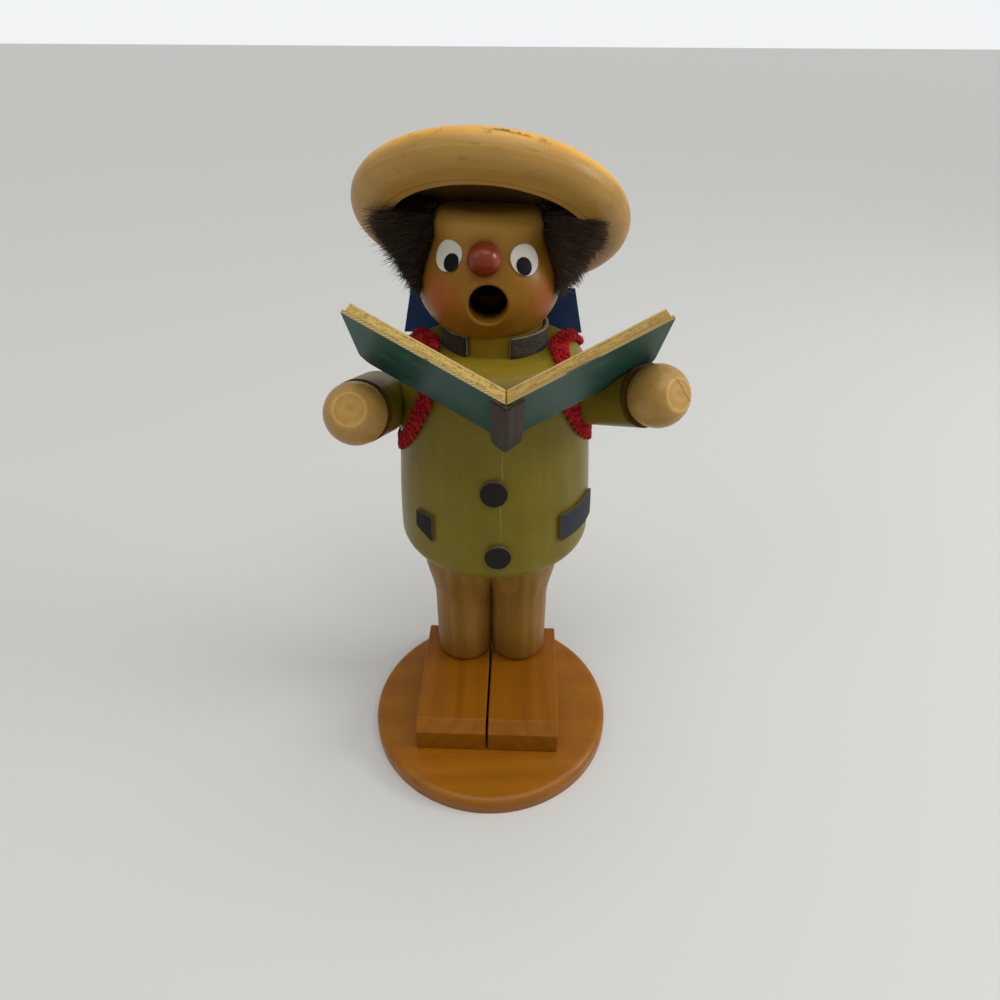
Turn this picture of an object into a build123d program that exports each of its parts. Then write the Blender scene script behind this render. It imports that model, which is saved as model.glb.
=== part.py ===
from build123d import *
import math
import os

# A turned-wood incense smoker: a hiker who reads an open book.
# The jacket, with everything above it, lifts straight up off the waist plate,
# so that an incense cone can be set on the dish. Smoke rises through the
# chamber and the flue and leaves by the mouth.
# Millimetres, +Z up, the figure faces -Y, left and right are the viewer's.
# The origin is the centre of the base disc's underside.

# Fits
glue_gap = 0.2          # under a piece that is glued to a curved surface
dowel_fit = 0.1         # round a dowel, spigot or nail in its hole
slide_fit = 0.3         # round the waist plate, so that the jacket lifts off

# Stand
base_radius = 42.0
base_thickness = 6.0
base_rim_round = 2.4
axis_x = 1.2            # the jacket stands this far to the right of the base's centre
axis_y = 17.5           # legs, jacket and head stand this far behind it
shoe_width = 24.0
shoe_gap = 0.8
shoe_length = 48.5
shoe_height = 12.0
toe_reach = 39.5        # from the leg's axis forward to the toe
toe_slope_length = 3.4
toe_slope_height = 3.7
shoe_edge_round = 0.5
shoe_turn = 1.7         # both shoes point a little to the viewer's left
leg_spacing = 19.8
leg_radius = 10.05
leg_top_radius = 13.2
leg_height = 55.0
leg_foot_round = 2.6
leg_flare_low = 26.0    # the leg starts to widen at this height and ends at the next
leg_flare_high = 48.0
leg_seam = 0.06          # between the two legs where their flat sides meet
dowel_radius = 3.0
dowel_in_base = 4.0
dowel_in_leg = 12.0
plate_radius = 23.7
plate_thickness = 4.0
draught_radius = 2.6
draught_reach = 18.0    # draught holes stand this far ahead of and behind the axis
dish_radius = 11.0
dish_height = 2.8
dish_wall = 0.7
nail_radius = 0.8
nail_head_radius = 2.4
nail_head_height = 0.8
nail_tip_cover = 0.6    # wood left under the nail's tip

# Jacket
jacket_radius = 30.6
hem_drop = 4.0          # the hem hangs this far below the seat
hem_round = 6.0
chest_radius = 28.3
chest_rise = 50.0
shoulder_radius = 25.6
shoulder_rise = 63.0
yoke_radius = 19.0
yoke_rise = 66.6
neck_radius = 13.6
neck_height = 5.8
chamber_radius = 20.0
chamber_height = 36.0
chamber_roof = 8.0      # height of the cone between chamber and flue
flue_radius = 5.0
collar_thickness = 1.3
collar_opening = 11.0
collar_opening_side = -1.5
button_radius = 3.9
button_thickness = 1.2
upper_button_rise = 33.4
lower_button_rise = 11.8
lower_button_side = 1.2
flap_thickness = 1.0
flap_low = 12.8
flap_high = 21.6
left_flap_start = 36.0  # flaps are placed by their angle round the jacket, from straight ahead
left_flap_end = 48.0
left_flap_slant = 3.0   # its outer lower corner is this much higher than the inner one
right_flap_start = 39.5
right_flap_end = 74.0

# Head
head_side = -1.6        # the head sits a little to the viewer's left
head_spigot_radius = 8.5
head_spigot_length = 8.0
chin_radius = 13.9
cheek_radius = 19.4
cheek_rise = 11.3
temple_radius = 15.5
temple_rise = 23.0
brow_radius = 15.0
brow_rise = 27.0
head_height = 31.2
mouth_radius = 5.0
mouth_rise = 10.4
mouth_lip_round = 0.6
eye_spread = 9.05
eye_side = -0.45        # both eyes sit a little to the viewer's left
eye_rise = 20.6
left_eye_lift = 0.7     # the left eye sits a little higher
eye_width = 8.15
eye_height = 7.15
eye_thickness = 0.35
pupil_width = 4.3
pupil_height = 4.1
pupil_side = 0.4        # both pupils look a little to the viewer's right and down
pupil_in = 1.2          # and towards the nose
pupil_drop = 1.3
pupil_thickness = 0.25
nose_radius = 4.3
nose_proud = 1.2        # the ball's centre stands this far off the face
nose_rise = 21.4
nose_side = -0.95
nose_peg_radius = 1.6
nose_peg_length = 6.0

# Hat and hair
hat_radius = 36.7
hat_rim_half = 5.1      # half of the brim's thickness, also the round of its edge
hat_recess_radius = 26.2
hat_recess_depth = 7.0
hat_recess_round = 0.8
hat_crown_radius = 25.0
hat_crown_height = 12.0
hat_tilt = 37.8         # tipped back
hat_lean = 4.9          # the viewer's right side hangs lower
hat_back = 0.5
hat_rise = 22.5
hat_dowel_radius = 2.5
hat_dowel_in_head = 9.0
hat_dowel_in_hat = 5.0
hair_low = 11.5
hair_high = 31.0
hair_low_reach = 21.0
hair_high_reach = 32.0
hair_front = 5.0        # the hair starts this far ahead of the head's axis
soft_gap = 0.3

# Arms: each shoulder is placed from the jacket's axis and from the book's foot
sleeve_radius = 9.4
cuff_radius = 8.6
shoulder_round = 7.0
sleeve_length = 24.5
hand_radius = 8.3
hand_rise = 4.2         # from the cuff to the middle of the ball
hand_tip_radius = 4.1   # flat at the end of the ball
hand_spigot_radius = 2.6
hand_spigot_length = 7.0
arm_dowel_radius = 2.5
arm_dowel_in_jacket = 6.0
arm_dowel_in_sleeve = 5.0
left_arm_out = 34.9
left_arm_ahead = 3.3
left_arm_rise = -4.3
left_arm_turn = 1.8     # outwards from straight ahead
left_arm_lift = 20.5
left_tip_lift = 14.0    # the flat at the hand's end looks up by this much more than the arm
right_arm_out = 26.1
right_arm_ahead = 6.1
right_arm_rise = 1.1
right_arm_turn = 36.5
right_arm_lift = 18.5
right_tip_lift = 4.0

# Book
page_width = 44.2
page_height = 24.2
page_thickness = 2.4
board_thickness = 0.9
board_overhang = 0.5
board_corner = 4.0
book_slope = 47.5       # how steeply the spine falls towards the jacket
book_left_open = 30.5   # each half rises this far from flat
book_right_open = 29.0
book_side = 3.0
book_ahead = 33.9       # spine's lower end, ahead of the jacket's axis
book_rise = 52.4
spine_seam = 0.4        # between the two halves at the spine
spine_thickness = 1.0
spine_width = 7.6
spine_tab = 5.4         # the strip runs on this far past the book's foot, to the jacket

# Straps and rucksack
strap_radius = 1.3
strap_stand = 0.45      # the strap's underside stands this far off the jacket
strap_runs = 28         # straight runs that the strap is made of
strap_route = (         # percent of the way from hem to yoke, and angle from straight ahead
    (76, 156),
    (77.5, 147),
    (80, 137),
    (83, 127),
    (86.5, 117),
    (90.5, 108),
    (95, 100),
    (98.3, 91),
    (99, 79),
    (98.5, 68),
    (96.5, 57),
    (93, 48),
    (82, 42),
    (76, 43),
    (71.5, 45),
    (69, 48),
    (65, 53),
    (59, 61),
    (52.5, 72),
    (47.5, 88),
    (45, 108),
    (44.5, 128),
    (44.5, 143),
)
bend_share = 0.45       # share of a run that the round at its end may take
pack_width = 42.0
pack_depth = 14.0       # behind the jacket's widest part
pack_low = 20.0         # rucksack's underside above the hem
lid_low_width = 56.0
lid_high_width = 46.0
lid_low = 61.3
lid_side = -0.8
lid_front = 20.5        # from the axis back to the lid's front face
lid_height = 24.0
lid_overhang = 1.5
lid_gap = 1.0           # under the hat's brim
pack_round = 3.0
pack_dowel_radius = 2.5
pack_dowel_in_jacket = 6.0
pack_dowel_in_pack = 8.0
pack_dowel_spacing = 22.0

halvings = 22           # steps that find the jacket's radius at a height

# Heights that follow from the sizes above
shoe_top = base_thickness + shoe_height
leg_top = shoe_top + leg_height
plate_top = leg_top + plate_thickness
hem_z = plate_top - hem_drop
neck_z = hem_z + yoke_rise + neck_height
leg_side = leg_spacing / 2
board_height = page_height + 2 * board_overhang

bottom_up = (Align.CENTER, Align.CENTER, Align.MIN)


def turned(*outline, arc=360):
    """Turn an outline, drawn as (radius, height), about the Z axis."""
    face = make_face([Plane.XZ * edge for edge in outline])
    return revolve(face, Axis.Z, arc)


def rod(radius, start, end):
    """Round rod between two points."""
    way = Vector(*end) - Vector(*start)
    return Plane(origin=start, z_dir=way) * Cylinder(radius, way.length, align=bottom_up)


def on_axis(height):
    """Place on the jacket's axis."""
    return Pos(axis_x, axis_y, height)


def on_head(rise):
    """Place on the head's axis at a height above the neck."""
    return on_axis(neck_z + rise) * Pos(head_side, 0, 0)


def save(name, shape):
    export_step(shape, os.path.join("parts", name + ".step"))


# Stand


def base_disc():
    disc = Cylinder(base_radius, base_thickness, align=bottom_up)
    disc = fillet(disc.edges().sort_by(Axis.Z)[-1], base_rim_round)
    for side in (-1, 1):
        disc -= leg_dowel(side, dowel_fit)
    return disc


def shoe(side):
    toe = -toe_reach
    heel = toe + shoe_length
    slope_start = shoe_top - toe_slope_height
    outline = Polyline(
        (toe, base_thickness),
        (heel, base_thickness),
        (heel, shoe_top),
        (toe + toe_slope_length, shoe_top),
        (toe, slope_start),
        close=True,
    )
    block = extrude(Plane.YZ * make_face(outline), shoe_width)
    block = fillet(block.edges(), shoe_edge_round)
    inner = shoe_gap / 2
    left_edge = inner if side > 0 else -inner - shoe_width
    place = Pos(0, axis_y, 0) * Rotation(0, 0, -shoe_turn) * Pos(left_edge, 0, 0)
    return place * block - leg_dowel(side, dowel_fit)


def leg_dowel(side, room=0.0):
    """Dowel through the shoe, from the base into the leg."""
    x = side * leg_side
    low = base_thickness - dowel_in_base
    return rod(dowel_radius + room, (x, axis_y, low), (x, axis_y, shoe_top + dowel_in_leg))


def hip_dowel(side, room=0.0):
    """Dowel from the leg's top through the waist plate."""
    x = side * leg_side
    return rod(dowel_radius + room, (x, axis_y, leg_top - dowel_in_leg), (x, axis_y, plate_top))


def leg(side):
    body = turned(
        Line((0, 0), (leg_radius - leg_foot_round, 0)),
        RadiusArc((leg_radius - leg_foot_round, 0), (leg_radius, leg_foot_round), -leg_foot_round),
        Line((leg_radius, leg_foot_round), (leg_radius, leg_flare_low)),
        Spline(
            (leg_radius, leg_flare_low),
            (leg_top_radius, leg_flare_high),
            tangents=((0, 1), (0, 1)),
        ),
        Polyline((leg_top_radius, leg_flare_high), (leg_top_radius, leg_height), (0, leg_height)),
        Line((0, leg_height), (0, 0)),
    )
    body = Pos(side * leg_side, axis_y, shoe_top) * body
    other_half = Pos(side * (leg_seam - base_radius) / 2, axis_y, 0)
    body -= other_half * Box(base_radius, 2 * base_radius, leg_top, align=bottom_up)
    body -= leg_dowel(side, dowel_fit)
    body -= hip_dowel(side, dowel_fit)
    return body


def waist_plate():
    plate = on_axis(leg_top) * Cylinder(plate_radius, plate_thickness, align=bottom_up)
    for side in (-1, 1):
        plate -= hip_dowel(side, dowel_fit)
        draught = Cylinder(draught_radius, plate_thickness, align=bottom_up)
        plate -= on_axis(leg_top) * Pos(0, side * draught_reach, 0) * draught
    plate -= dish_nail(dowel_fit)
    return plate


def incense_dish():
    """Thin pressed dish with a sloping wall."""
    slope = dish_height
    dish = turned(
        Polyline(
            (0, 0),
            (dish_radius - slope, 0),
            (dish_radius, dish_height),
            (dish_radius - dish_wall, dish_height),
            (dish_radius - slope - dish_wall / 2, dish_wall),
            (0, dish_wall),
            close=True,
        )
    )
    return on_axis(plate_top) * dish - dish_nail(dowel_fit)


def dish_nail(room=0.0):
    floor = plate_top + dish_wall
    tip = leg_top + nail_tip_cover
    shank = rod(nail_radius + room, (axis_x, axis_y, tip), (axis_x, axis_y, floor))
    if room:
        return shank
    return shank + on_axis(floor) * Cylinder(nail_head_radius, nail_head_height, align=bottom_up)


# Jacket


def jacket_side(extra=0.0):
    """Outside curve of the jacket from the hem's round up to the yoke."""
    corner = math.sqrt(0.5)
    return Spline(
        (jacket_radius + extra, hem_round),
        (chest_radius + extra, chest_rise),
        (shoulder_radius + extra * corner, shoulder_rise + extra * corner),
        (yoke_radius, yoke_rise + extra),
        tangents=((0, 1), (-1, 0)),
    )


def jacket_form(extra=0.0):
    """Outside of the jacket as a full solid on its axis, grown outwards by extra."""
    hem_inner = jacket_radius - hem_round
    neck = neck_radius + extra
    top = yoke_rise + neck_height
    form = turned(
        Line((0, -extra), (hem_inner, -extra)),
        RadiusArc((hem_inner, -extra), (jacket_radius + extra, hem_round), -hem_round - extra),
        jacket_side(extra),
        Polyline((yoke_radius, yoke_rise + extra), (neck, yoke_rise + extra), (neck, top), (0, top)),
        Line((0, top), (0, -extra)),
    )
    return on_axis(hem_z) * form


def jacket_radius_at(rise):
    """Radius of the jacket at a height above the hem."""
    side = jacket_side()
    low, high = 0.0, 1.0
    for _ in range(halvings):
        middle = (low + high) / 2
        if side.position_at(middle).Y < rise:
            low = middle
        else:
            high = middle
    return side.position_at(low).X


def jacket_skin(inner, outer):
    """Shell that follows the jacket between two distances from it."""
    return jacket_form(outer) - jacket_form(inner)


def jacket():
    seat = hem_drop
    chamber_top = seat + chamber_height
    flue_start = chamber_top + chamber_roof
    top = yoke_rise + neck_height
    hollow = turned(
        Polyline(
            (0, 0),
            (plate_radius + slide_fit, 0),
            (plate_radius + slide_fit, seat),
            (chamber_radius, seat),
            (chamber_radius, chamber_top),
            (flue_radius, flue_start),
            (flue_radius, top),
            (0, top),
            close=True,
        )
    )
    body = jacket_form() - on_axis(hem_z) * hollow - head_spigot(dowel_fit)
    for side in (-1, 1):
        body -= arm_dowel(side, dowel_fit)
        body -= pack_dowel(side, dowel_fit)
    return body


def collar():
    """Strip round the neck, open at the front."""
    inner = neck_radius + glue_gap
    ring = Cylinder(inner + collar_thickness, neck_height, align=bottom_up)
    ring -= Cylinder(inner, neck_height, align=bottom_up)
    gap = Box(collar_opening, 2 * neck_radius, neck_height, align=bottom_up)
    ring -= Pos(collar_opening_side, -neck_radius, 0) * gap
    return on_axis(hem_z + yoke_rise) * ring


def front_cut(outline):
    """Prism to the front from an outline drawn as seen from ahead."""
    return Rotation(90, 0, 0) * extrude(outline, 2 * jacket_radius)


def button(side_x, rise):
    disc = on_axis(hem_z + rise) * Pos(side_x, 0, 0) * front_cut(Circle(button_radius))
    return disc & jacket_skin(glue_gap, glue_gap + button_thickness)


def pocket_flap(side):
    """Strip of leather that follows the jacket between two angles."""
    start, end = (
        (-left_flap_end, -left_flap_start) if side < 0 else (right_flap_start, right_flap_end)
    )
    band = turned(
        Polyline(
            (chamber_radius, flap_low),
            (2 * jacket_radius, flap_low),
            (2 * jacket_radius, flap_high),
            (chamber_radius, flap_high),
            close=True,
        ),
        arc=end - start,
    )
    straight_ahead = -90
    band = on_axis(hem_z) * Rotation(0, 0, straight_ahead + start) * band
    if side < 0:
        band -= on_axis(hem_z) * front_cut(left_flap_corner())
    return band & jacket_skin(glue_gap, glue_gap + flap_thickness)


def left_flap_corner():
    """Triangle that is cut off the left flap's lower end, as seen from ahead."""
    inner = -jacket_radius * math.sin(math.radians(left_flap_start))
    outer = -jacket_radius * math.sin(math.radians(left_flap_end))
    far = 2 * outer - inner
    return make_face(
        Polyline((inner, flap_low), (far, flap_low + 2 * left_flap_slant), (far, flap_low), close=True)
    )


# Head


def head_form(extra=0.0):
    """Outside of the head as a full solid on its axis, grown outwards by extra."""
    top_round = head_height - brow_rise
    flat = brow_radius - top_round
    form = turned(
        Line((0, 0), (chin_radius + extra, 0)),
        Spline(
            (chin_radius + extra, 0),
            (cheek_radius + extra, cheek_rise),
            (temple_radius + extra, temple_rise),
            (brow_radius + extra, brow_rise),
            tangents=((1, 1), (0, 1)),
        ),
        RadiusArc((brow_radius + extra, brow_rise), (flat, head_height + extra), -top_round - extra),
        Line((flat, head_height + extra), (0, head_height + extra)),
        Line((0, head_height + extra), (0, 0)),
    )
    return on_head(0) * form


def hat_plane(height=0.0):
    """Plane of the hat's underside, or one at a height towards the crown."""
    tilt = Rotation(-hat_tilt, 0, 0) * Rotation(0, hat_lean, 0)
    return on_head(hat_rise) * Pos(0, hat_back, 0) * tilt * Pos(0, 0, height)


def head_spigot(room=0.0):
    """Spigot under the head, or its bore in the neck."""
    spigot = Cylinder(head_spigot_radius + room, head_spigot_length, align=bottom_up)
    return on_head(-head_spigot_length) * spigot


def head():
    body = head_form()
    body -= hat_plane(hat_recess_depth) * Cylinder(hat_radius, hat_radius, align=bottom_up)
    body += head_spigot()
    flue_length = head_spigot_length + mouth_rise + mouth_radius
    body -= on_head(-head_spigot_length) * Cylinder(flue_radius, flue_length, align=bottom_up)
    body -= on_head(mouth_rise) * front_cut(Circle(mouth_radius))
    lip = body.edges().filter_by(GeomType.BSPLINE).sort_by(Axis.Y)[0]
    body = fillet(lip, mouth_lip_round)
    body -= nose_peg(dowel_fit)
    body -= hat_dowel(dowel_fit)
    return body


def face_skin(inner, outer):
    """Shell that follows the head between two distances from it."""
    return head_form(outer) - head_form(inner)


def eye_place(side):
    """Height of an eye on the head's axis, turned to face as the eye does."""
    lift = left_eye_lift if side < 0 else 0.0
    turn = math.degrees(math.asin((eye_side + side * eye_spread) / temple_radius))
    return on_head(eye_rise + lift) * Rotation(0, 0, turn)


def eye(side):
    oval = front_cut(Ellipse(eye_width / 2, eye_height / 2))
    prism = eye_place(side) * oval
    return prism & face_skin(glue_gap / 2, eye_thickness)


def pupil(side):
    oval = front_cut(Ellipse(pupil_width / 2, pupil_height / 2))
    prism = eye_place(side) * Pos(pupil_side - side * pupil_in, 0, -pupil_drop) * oval
    return prism & face_skin(eye_thickness + glue_gap / 2, eye_thickness + pupil_thickness)


def nose_place():
    """Centre of the nose's ball."""
    return on_head(nose_rise) * Pos(nose_side, -temple_radius - nose_proud, 0)


def nose_peg(room=0.0):
    return nose_place() * rod(nose_peg_radius + room, (0, 0, 0), (0, nose_peg_length, 0))


def nose():
    ball = nose_place() * Sphere(nose_radius)
    return ball - head_form(glue_gap) + nose_peg()


def hat():
    rim = hat_radius - hat_rim_half
    lip = hat_recess_radius + hat_recess_round
    brim_top = 2 * hat_rim_half
    crown_top = brim_top + hat_crown_height
    crown_round = (hat_crown_radius ** 2 + hat_crown_height ** 2) / (2 * hat_crown_height)
    form = turned(
        Line((0, hat_recess_depth), (hat_recess_radius, hat_recess_depth)),
        Line((hat_recess_radius, hat_recess_depth), (hat_recess_radius, hat_recess_round)),
        RadiusArc((hat_recess_radius, hat_recess_round), (lip, 0), -hat_recess_round),
        Line((lip, 0), (rim, 0)),
        ThreePointArc((rim, 0), (hat_radius, hat_rim_half), (rim, brim_top)),
        Line((rim, brim_top), (hat_crown_radius, brim_top)),
        RadiusArc((hat_crown_radius, brim_top), (0, crown_top), -crown_round),
        Line((0, crown_top), (0, hat_recess_depth)),
    )
    return hat_plane() * form - hat_dowel(dowel_fit)


def hat_dowel(room=0.0):
    low = hat_recess_depth - hat_dowel_in_head
    length = hat_dowel_in_head + hat_dowel_in_hat
    return hat_plane(low) * Cylinder(hat_dowel_radius + room, length, align=bottom_up)


def fur_hair():
    """Fur strip round the sides and back of the head, under the hat."""
    wedge = turned(
        Polyline(
            (0, hair_low),
            (hair_low_reach, hair_low),
            (hair_high_reach, hair_high),
            (0, hair_high),
            close=True,
        )
    )
    fur = on_axis(neck_z) * wedge - head_form(soft_gap)
    span = 4 * hat_radius
    fur -= on_axis(neck_z) * Pos(0, -hair_front, 0) * Box(
        span, span, span, align=(Align.CENTER, Align.MAX, Align.CENTER)
    )
    below_brim = hat_plane(-soft_gap) * Rotation(180, 0, 0) * Cylinder(span, span, align=bottom_up)
    in_recess = hat_plane(-span) * Cylinder(
        hat_recess_radius - soft_gap, span + hat_recess_depth - soft_gap, align=bottom_up
    )
    return (fur & below_brim) + (fur & in_recess)


# Arms


def arm_way(side, more_lift=0.0):
    """Direction of an arm, or one that looks up by more."""
    turn, lift = (left_arm_turn, left_arm_lift) if side < 0 else (right_arm_turn, right_arm_lift)
    lift = math.radians(lift + more_lift)
    turn = math.radians(turn)
    return Vector(
        side * math.cos(lift) * math.sin(turn), -math.cos(lift) * math.cos(turn), math.sin(lift)
    )


def arm_frame(side):
    """Place of the arm: origin at the shoulder, +Z along the arm to the hand."""
    out, ahead, rise = (
        (left_arm_out, left_arm_ahead, left_arm_rise)
        if side < 0
        else (right_arm_out, right_arm_ahead, right_arm_rise)
    )
    shoulder = (axis_x + side * out, axis_y - ahead, spine_foot().Z + rise)
    return Plane(origin=shoulder, z_dir=arm_way(side))


def sleeve(side):
    end = sleeve_radius - shoulder_round
    body = turned(
        Line((0, -shoulder_round), (end, -shoulder_round)),
        RadiusArc((end, -shoulder_round), (sleeve_radius, 0), -shoulder_round),
        Line((sleeve_radius, 0), (cuff_radius, sleeve_length)),
        Line((cuff_radius, sleeve_length), (0, sleeve_length)),
        Line((0, sleeve_length), (0, -shoulder_round)),
    )
    body = arm_frame(side) * body
    body -= jacket_form(glue_gap)
    body -= book_room(side)
    body -= strap(side, soft_gap)
    body -= hand_spigot(side, dowel_fit)
    body -= arm_dowel(side, dowel_fit)
    return body


def hand_spigot(side, room=0.0):
    frame = arm_frame(side) * Pos(0, 0, sleeve_length - hand_spigot_length)
    return frame * Cylinder(hand_spigot_radius + room, hand_spigot_length, align=bottom_up)


def hand(side):
    """Ball on the end of the sleeve, with a flat cut at its tip."""
    centre = arm_frame(side).origin + arm_way(side) * (sleeve_length + hand_rise)
    ball = Pos(*centre) * Sphere(hand_radius)
    ball -= arm_frame(side) * Cylinder(2 * hand_radius, sleeve_length, align=bottom_up)
    more_lift = left_tip_lift if side < 0 else right_tip_lift
    tip_distance = math.sqrt(hand_radius ** 2 - hand_tip_radius ** 2)
    tip = Plane(origin=centre, z_dir=arm_way(side, more_lift)) * Pos(0, 0, tip_distance)
    ball -= tip * Cylinder(hand_radius, hand_radius, align=bottom_up)
    return ball - book_room(side) + hand_spigot(side)


def arm_dowel(side, room=0.0):
    """Dowel square to the jacket's side, from its wall into the sleeve."""
    centre = arm_frame(side).origin
    axis = Vector(axis_x, axis_y, centre.Z)
    outward = (centre - axis).normalized()
    wall = jacket_radius_at(centre.Z - hem_z)
    start = axis + outward * (wall - arm_dowel_in_jacket)
    end = axis + outward * (wall + arm_dowel_in_sleeve)
    return rod(arm_dowel_radius + room, start, end)


# Book


def spine_ways():
    """Directions of the book: up along the spine, and out to the reader."""
    slope = math.radians(book_slope)
    up = Vector(0, -math.cos(slope), math.sin(slope))
    reader = Vector(0, math.sin(slope), math.cos(slope))
    return up, reader


def spine_foot():
    return Vector(axis_x + book_side, axis_y - book_ahead, hem_z + book_rise)


def book_half(side):
    """Plane of one half's outer face: X away from the spine, Z to the reader."""
    opening = math.radians(book_left_open if side < 0 else book_right_open)
    up, reader = spine_ways()
    away = Vector(side, 0, 0) * math.cos(opening) + reader * math.sin(opening)
    return Plane(origin=spine_foot(), x_dir=away, z_dir=up.cross(away) * side)


def book_block(side, across, along, deep, seam=0.0):
    """Block on one half of the book, mitred where the two halves meet.

    Its limits run across from the spine, along the spine and deep towards the reader.
    """
    size = [high - low for low, high in (across, along, deep)]
    x, y, z = [(low + high) / 2 for low, high in (across, along, deep)]
    block = book_half(side) * Pos(x, -side * y, z) * Box(*size)
    span = 2 * page_width
    own_half = Pos(spine_foot().X + side * (seam + span) / 2, 0, spine_foot().Z)
    return block & own_half * Box(span, 2 * span, 2 * span)


def book_cover(side):
    width = page_width + board_overhang
    board = book_block(side, (0, width), (0, board_height), (0, board_thickness), spine_seam)
    through = Axis(spine_foot(), book_half(side).z_dir)
    corners = board.edges().filter_by(through).sort_by(Axis.Z)
    outer = [edge for edge in corners if abs(edge.center().X - spine_foot().X) > page_width / 2]
    return fillet(outer[0], board_corner)


def book_pages(side):
    along = (board_overhang, board_overhang + page_height)
    deep = (board_thickness, board_thickness + page_thickness)
    block = book_block(side, (0, page_width), along, deep, spine_seam)
    return block - jacket_form(glue_gap) - strap(side, soft_gap)


def book_room(side):
    """Space that one half of the book takes up, with room for glue."""
    across = (0, page_width + board_overhang + glue_gap)
    along = (-glue_gap, board_height + glue_gap)
    deep = (-glue_gap, board_thickness + page_thickness + glue_gap)
    return book_block(side, across, along, deep)


def book_spine():
    """Suede strip over the spine that runs on down to the jacket's chest."""
    wings = []
    for side in (-1, 1):
        across = (-spine_thickness, spine_width / 2)
        deep = (-glue_gap - spine_thickness, -glue_gap)
        wings.append(book_block(side, across, (-spine_tab, board_height), deep))
    return wings[0] + wings[1] - jacket_form(glue_gap)


# Straps and rucksack


def strap_point(share, angle):
    """Centre of the strap over the jacket: share of the way from hem to yoke, angle from ahead."""
    side = jacket_side()
    spot = side.position_at(share)
    along = side.tangent_at(share)
    lift = strap_radius + strap_stand
    radius = spot.X + along.Y * lift
    rise = spot.Y - along.X * lift
    turn = math.radians(angle)
    return Vector(axis_x + radius * math.sin(turn), axis_y - radius * math.cos(turn), hem_z + rise)


def strap_points(side):
    """Points spread evenly along the strap's route over the jacket."""
    way = Spline(*strap_route)
    places = [way.position_at(step / strap_runs) for step in range(strap_runs + 1)]
    return [strap_point(place.X / 100, side * place.Y) for place in places]


def bend_radii(points):
    """Largest round at each corner of a route that leaves its runs some straight length."""
    radii = []
    for before, here, after in zip(points, points[1:], points[2:]):
        arriving = here - before
        leaving = after - here
        half_turn = math.radians(arriving.get_angle(leaving)) / 2
        radii.append(bend_share * min(arriving.length, leaving.length) / math.tan(half_turn))
    return radii


def strap(side, room=0.0):
    points = strap_points(side)
    path = FilletPolyline(*points, radius=bend_radii(points))
    section = Plane(origin=points[0], z_dir=points[1] - points[0]) * Circle(strap_radius + room)
    return sweep(section, path)


def rucksack_back():
    return axis_y + jacket_radius + pack_depth


def rucksack():
    """Body of the rucksack, hollowed in front to sit on the jacket's back."""
    depth = pack_depth + jacket_radius
    height = lid_low - pack_low
    block = Box(pack_width, depth, height, align=(Align.CENTER, Align.MAX, Align.MIN))
    block = Pos(axis_x, rucksack_back(), hem_z + pack_low) * block
    back_edges = block.edges().filter_by(Axis.Z).sort_by(Axis.Y)[-2:]
    block = fillet(back_edges, pack_round)
    block -= jacket_form(glue_gap)
    for side in (-1, 1):
        block -= pack_dowel(side, dowel_fit)
        block -= strap(side, soft_gap)
    return block


def rucksack_lid():
    """Lid that overhangs the body and slopes down behind, under the hat's brim."""
    low, high = lid_low_width / 2, lid_high_width / 2
    outline = Polyline((-low, 0), (low, 0), (high, lid_height), (-high, lid_height), close=True)
    front = axis_y + lid_front
    depth = rucksack_back() + lid_overhang - front
    corner = (axis_x + lid_side, front, hem_z + lid_low)
    plane = Plane(origin=corner, x_dir=(-1, 0, 0), z_dir=(0, 1, 0))
    lid = extrude(plane * make_face(outline), depth)
    span = 4 * hat_radius
    lid &= hat_plane(-lid_gap) * Rotation(180, 0, 0) * Cylinder(span, span, align=bottom_up)
    lid -= jacket_form(glue_gap)
    for side in (-1, 1):
        lid -= strap(side, glue_gap)
    return lid


def pack_dowel(side, room=0.0):
    x = side * pack_dowel_spacing / 2
    z = hem_z + (pack_low + lid_low) / 2
    wall = jacket_radius_at(z - hem_z)
    wall_y = axis_y + math.sqrt(wall ** 2 - x ** 2)
    start = (axis_x + x, wall_y - pack_dowel_in_jacket, z)
    end = (axis_x + x, wall_y + pack_dowel_in_pack, z)
    return rod(pack_dowel_radius + room, start, end)


os.makedirs("parts", exist_ok=True)

for side, name in ((-1, "left"), (1, "right")):
    save(name + "_shoe", shoe(side))
    save(name + "_leg", leg(side))
    save(name + "_leg_dowel", leg_dowel(side))
    save(name + "_hip_dowel", hip_dowel(side))
    save(name + "_eye", eye(side))
    save(name + "_pupil", pupil(side))
    save(name + "_sleeve", sleeve(side))
    save(name + "_hand", hand(side))
    save(name + "_arm_dowel", arm_dowel(side))
    save(name + "_pocket_flap", pocket_flap(side))
    save(name + "_book_cover", book_cover(side))
    save(name + "_pages", book_pages(side))
    save(name + "_strap", strap(side))

save("base_disc", base_disc())
save("waist_plate", waist_plate())
save("incense_dish", incense_dish())
save("dish_nail", dish_nail())
save("jacket", jacket())
save("collar", collar())
save("upper_button", button(0, upper_button_rise))
save("lower_button", button(lower_button_side, lower_button_rise))
save("head", head())
save("nose", nose())
save("hat", hat())
save("hat_dowel", hat_dowel())
save("fur_hair", fur_hair())
save("book_spine", book_spine())
save("rucksack", rucksack())
save("rucksack_lid", rucksack_lid())
save("rucksack_dowels", Compound([pack_dowel(-1), pack_dowel(1)]))

print("tightest bend of a strap, mm:", round(min(bend_radii(strap_points(1))), 1))
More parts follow.
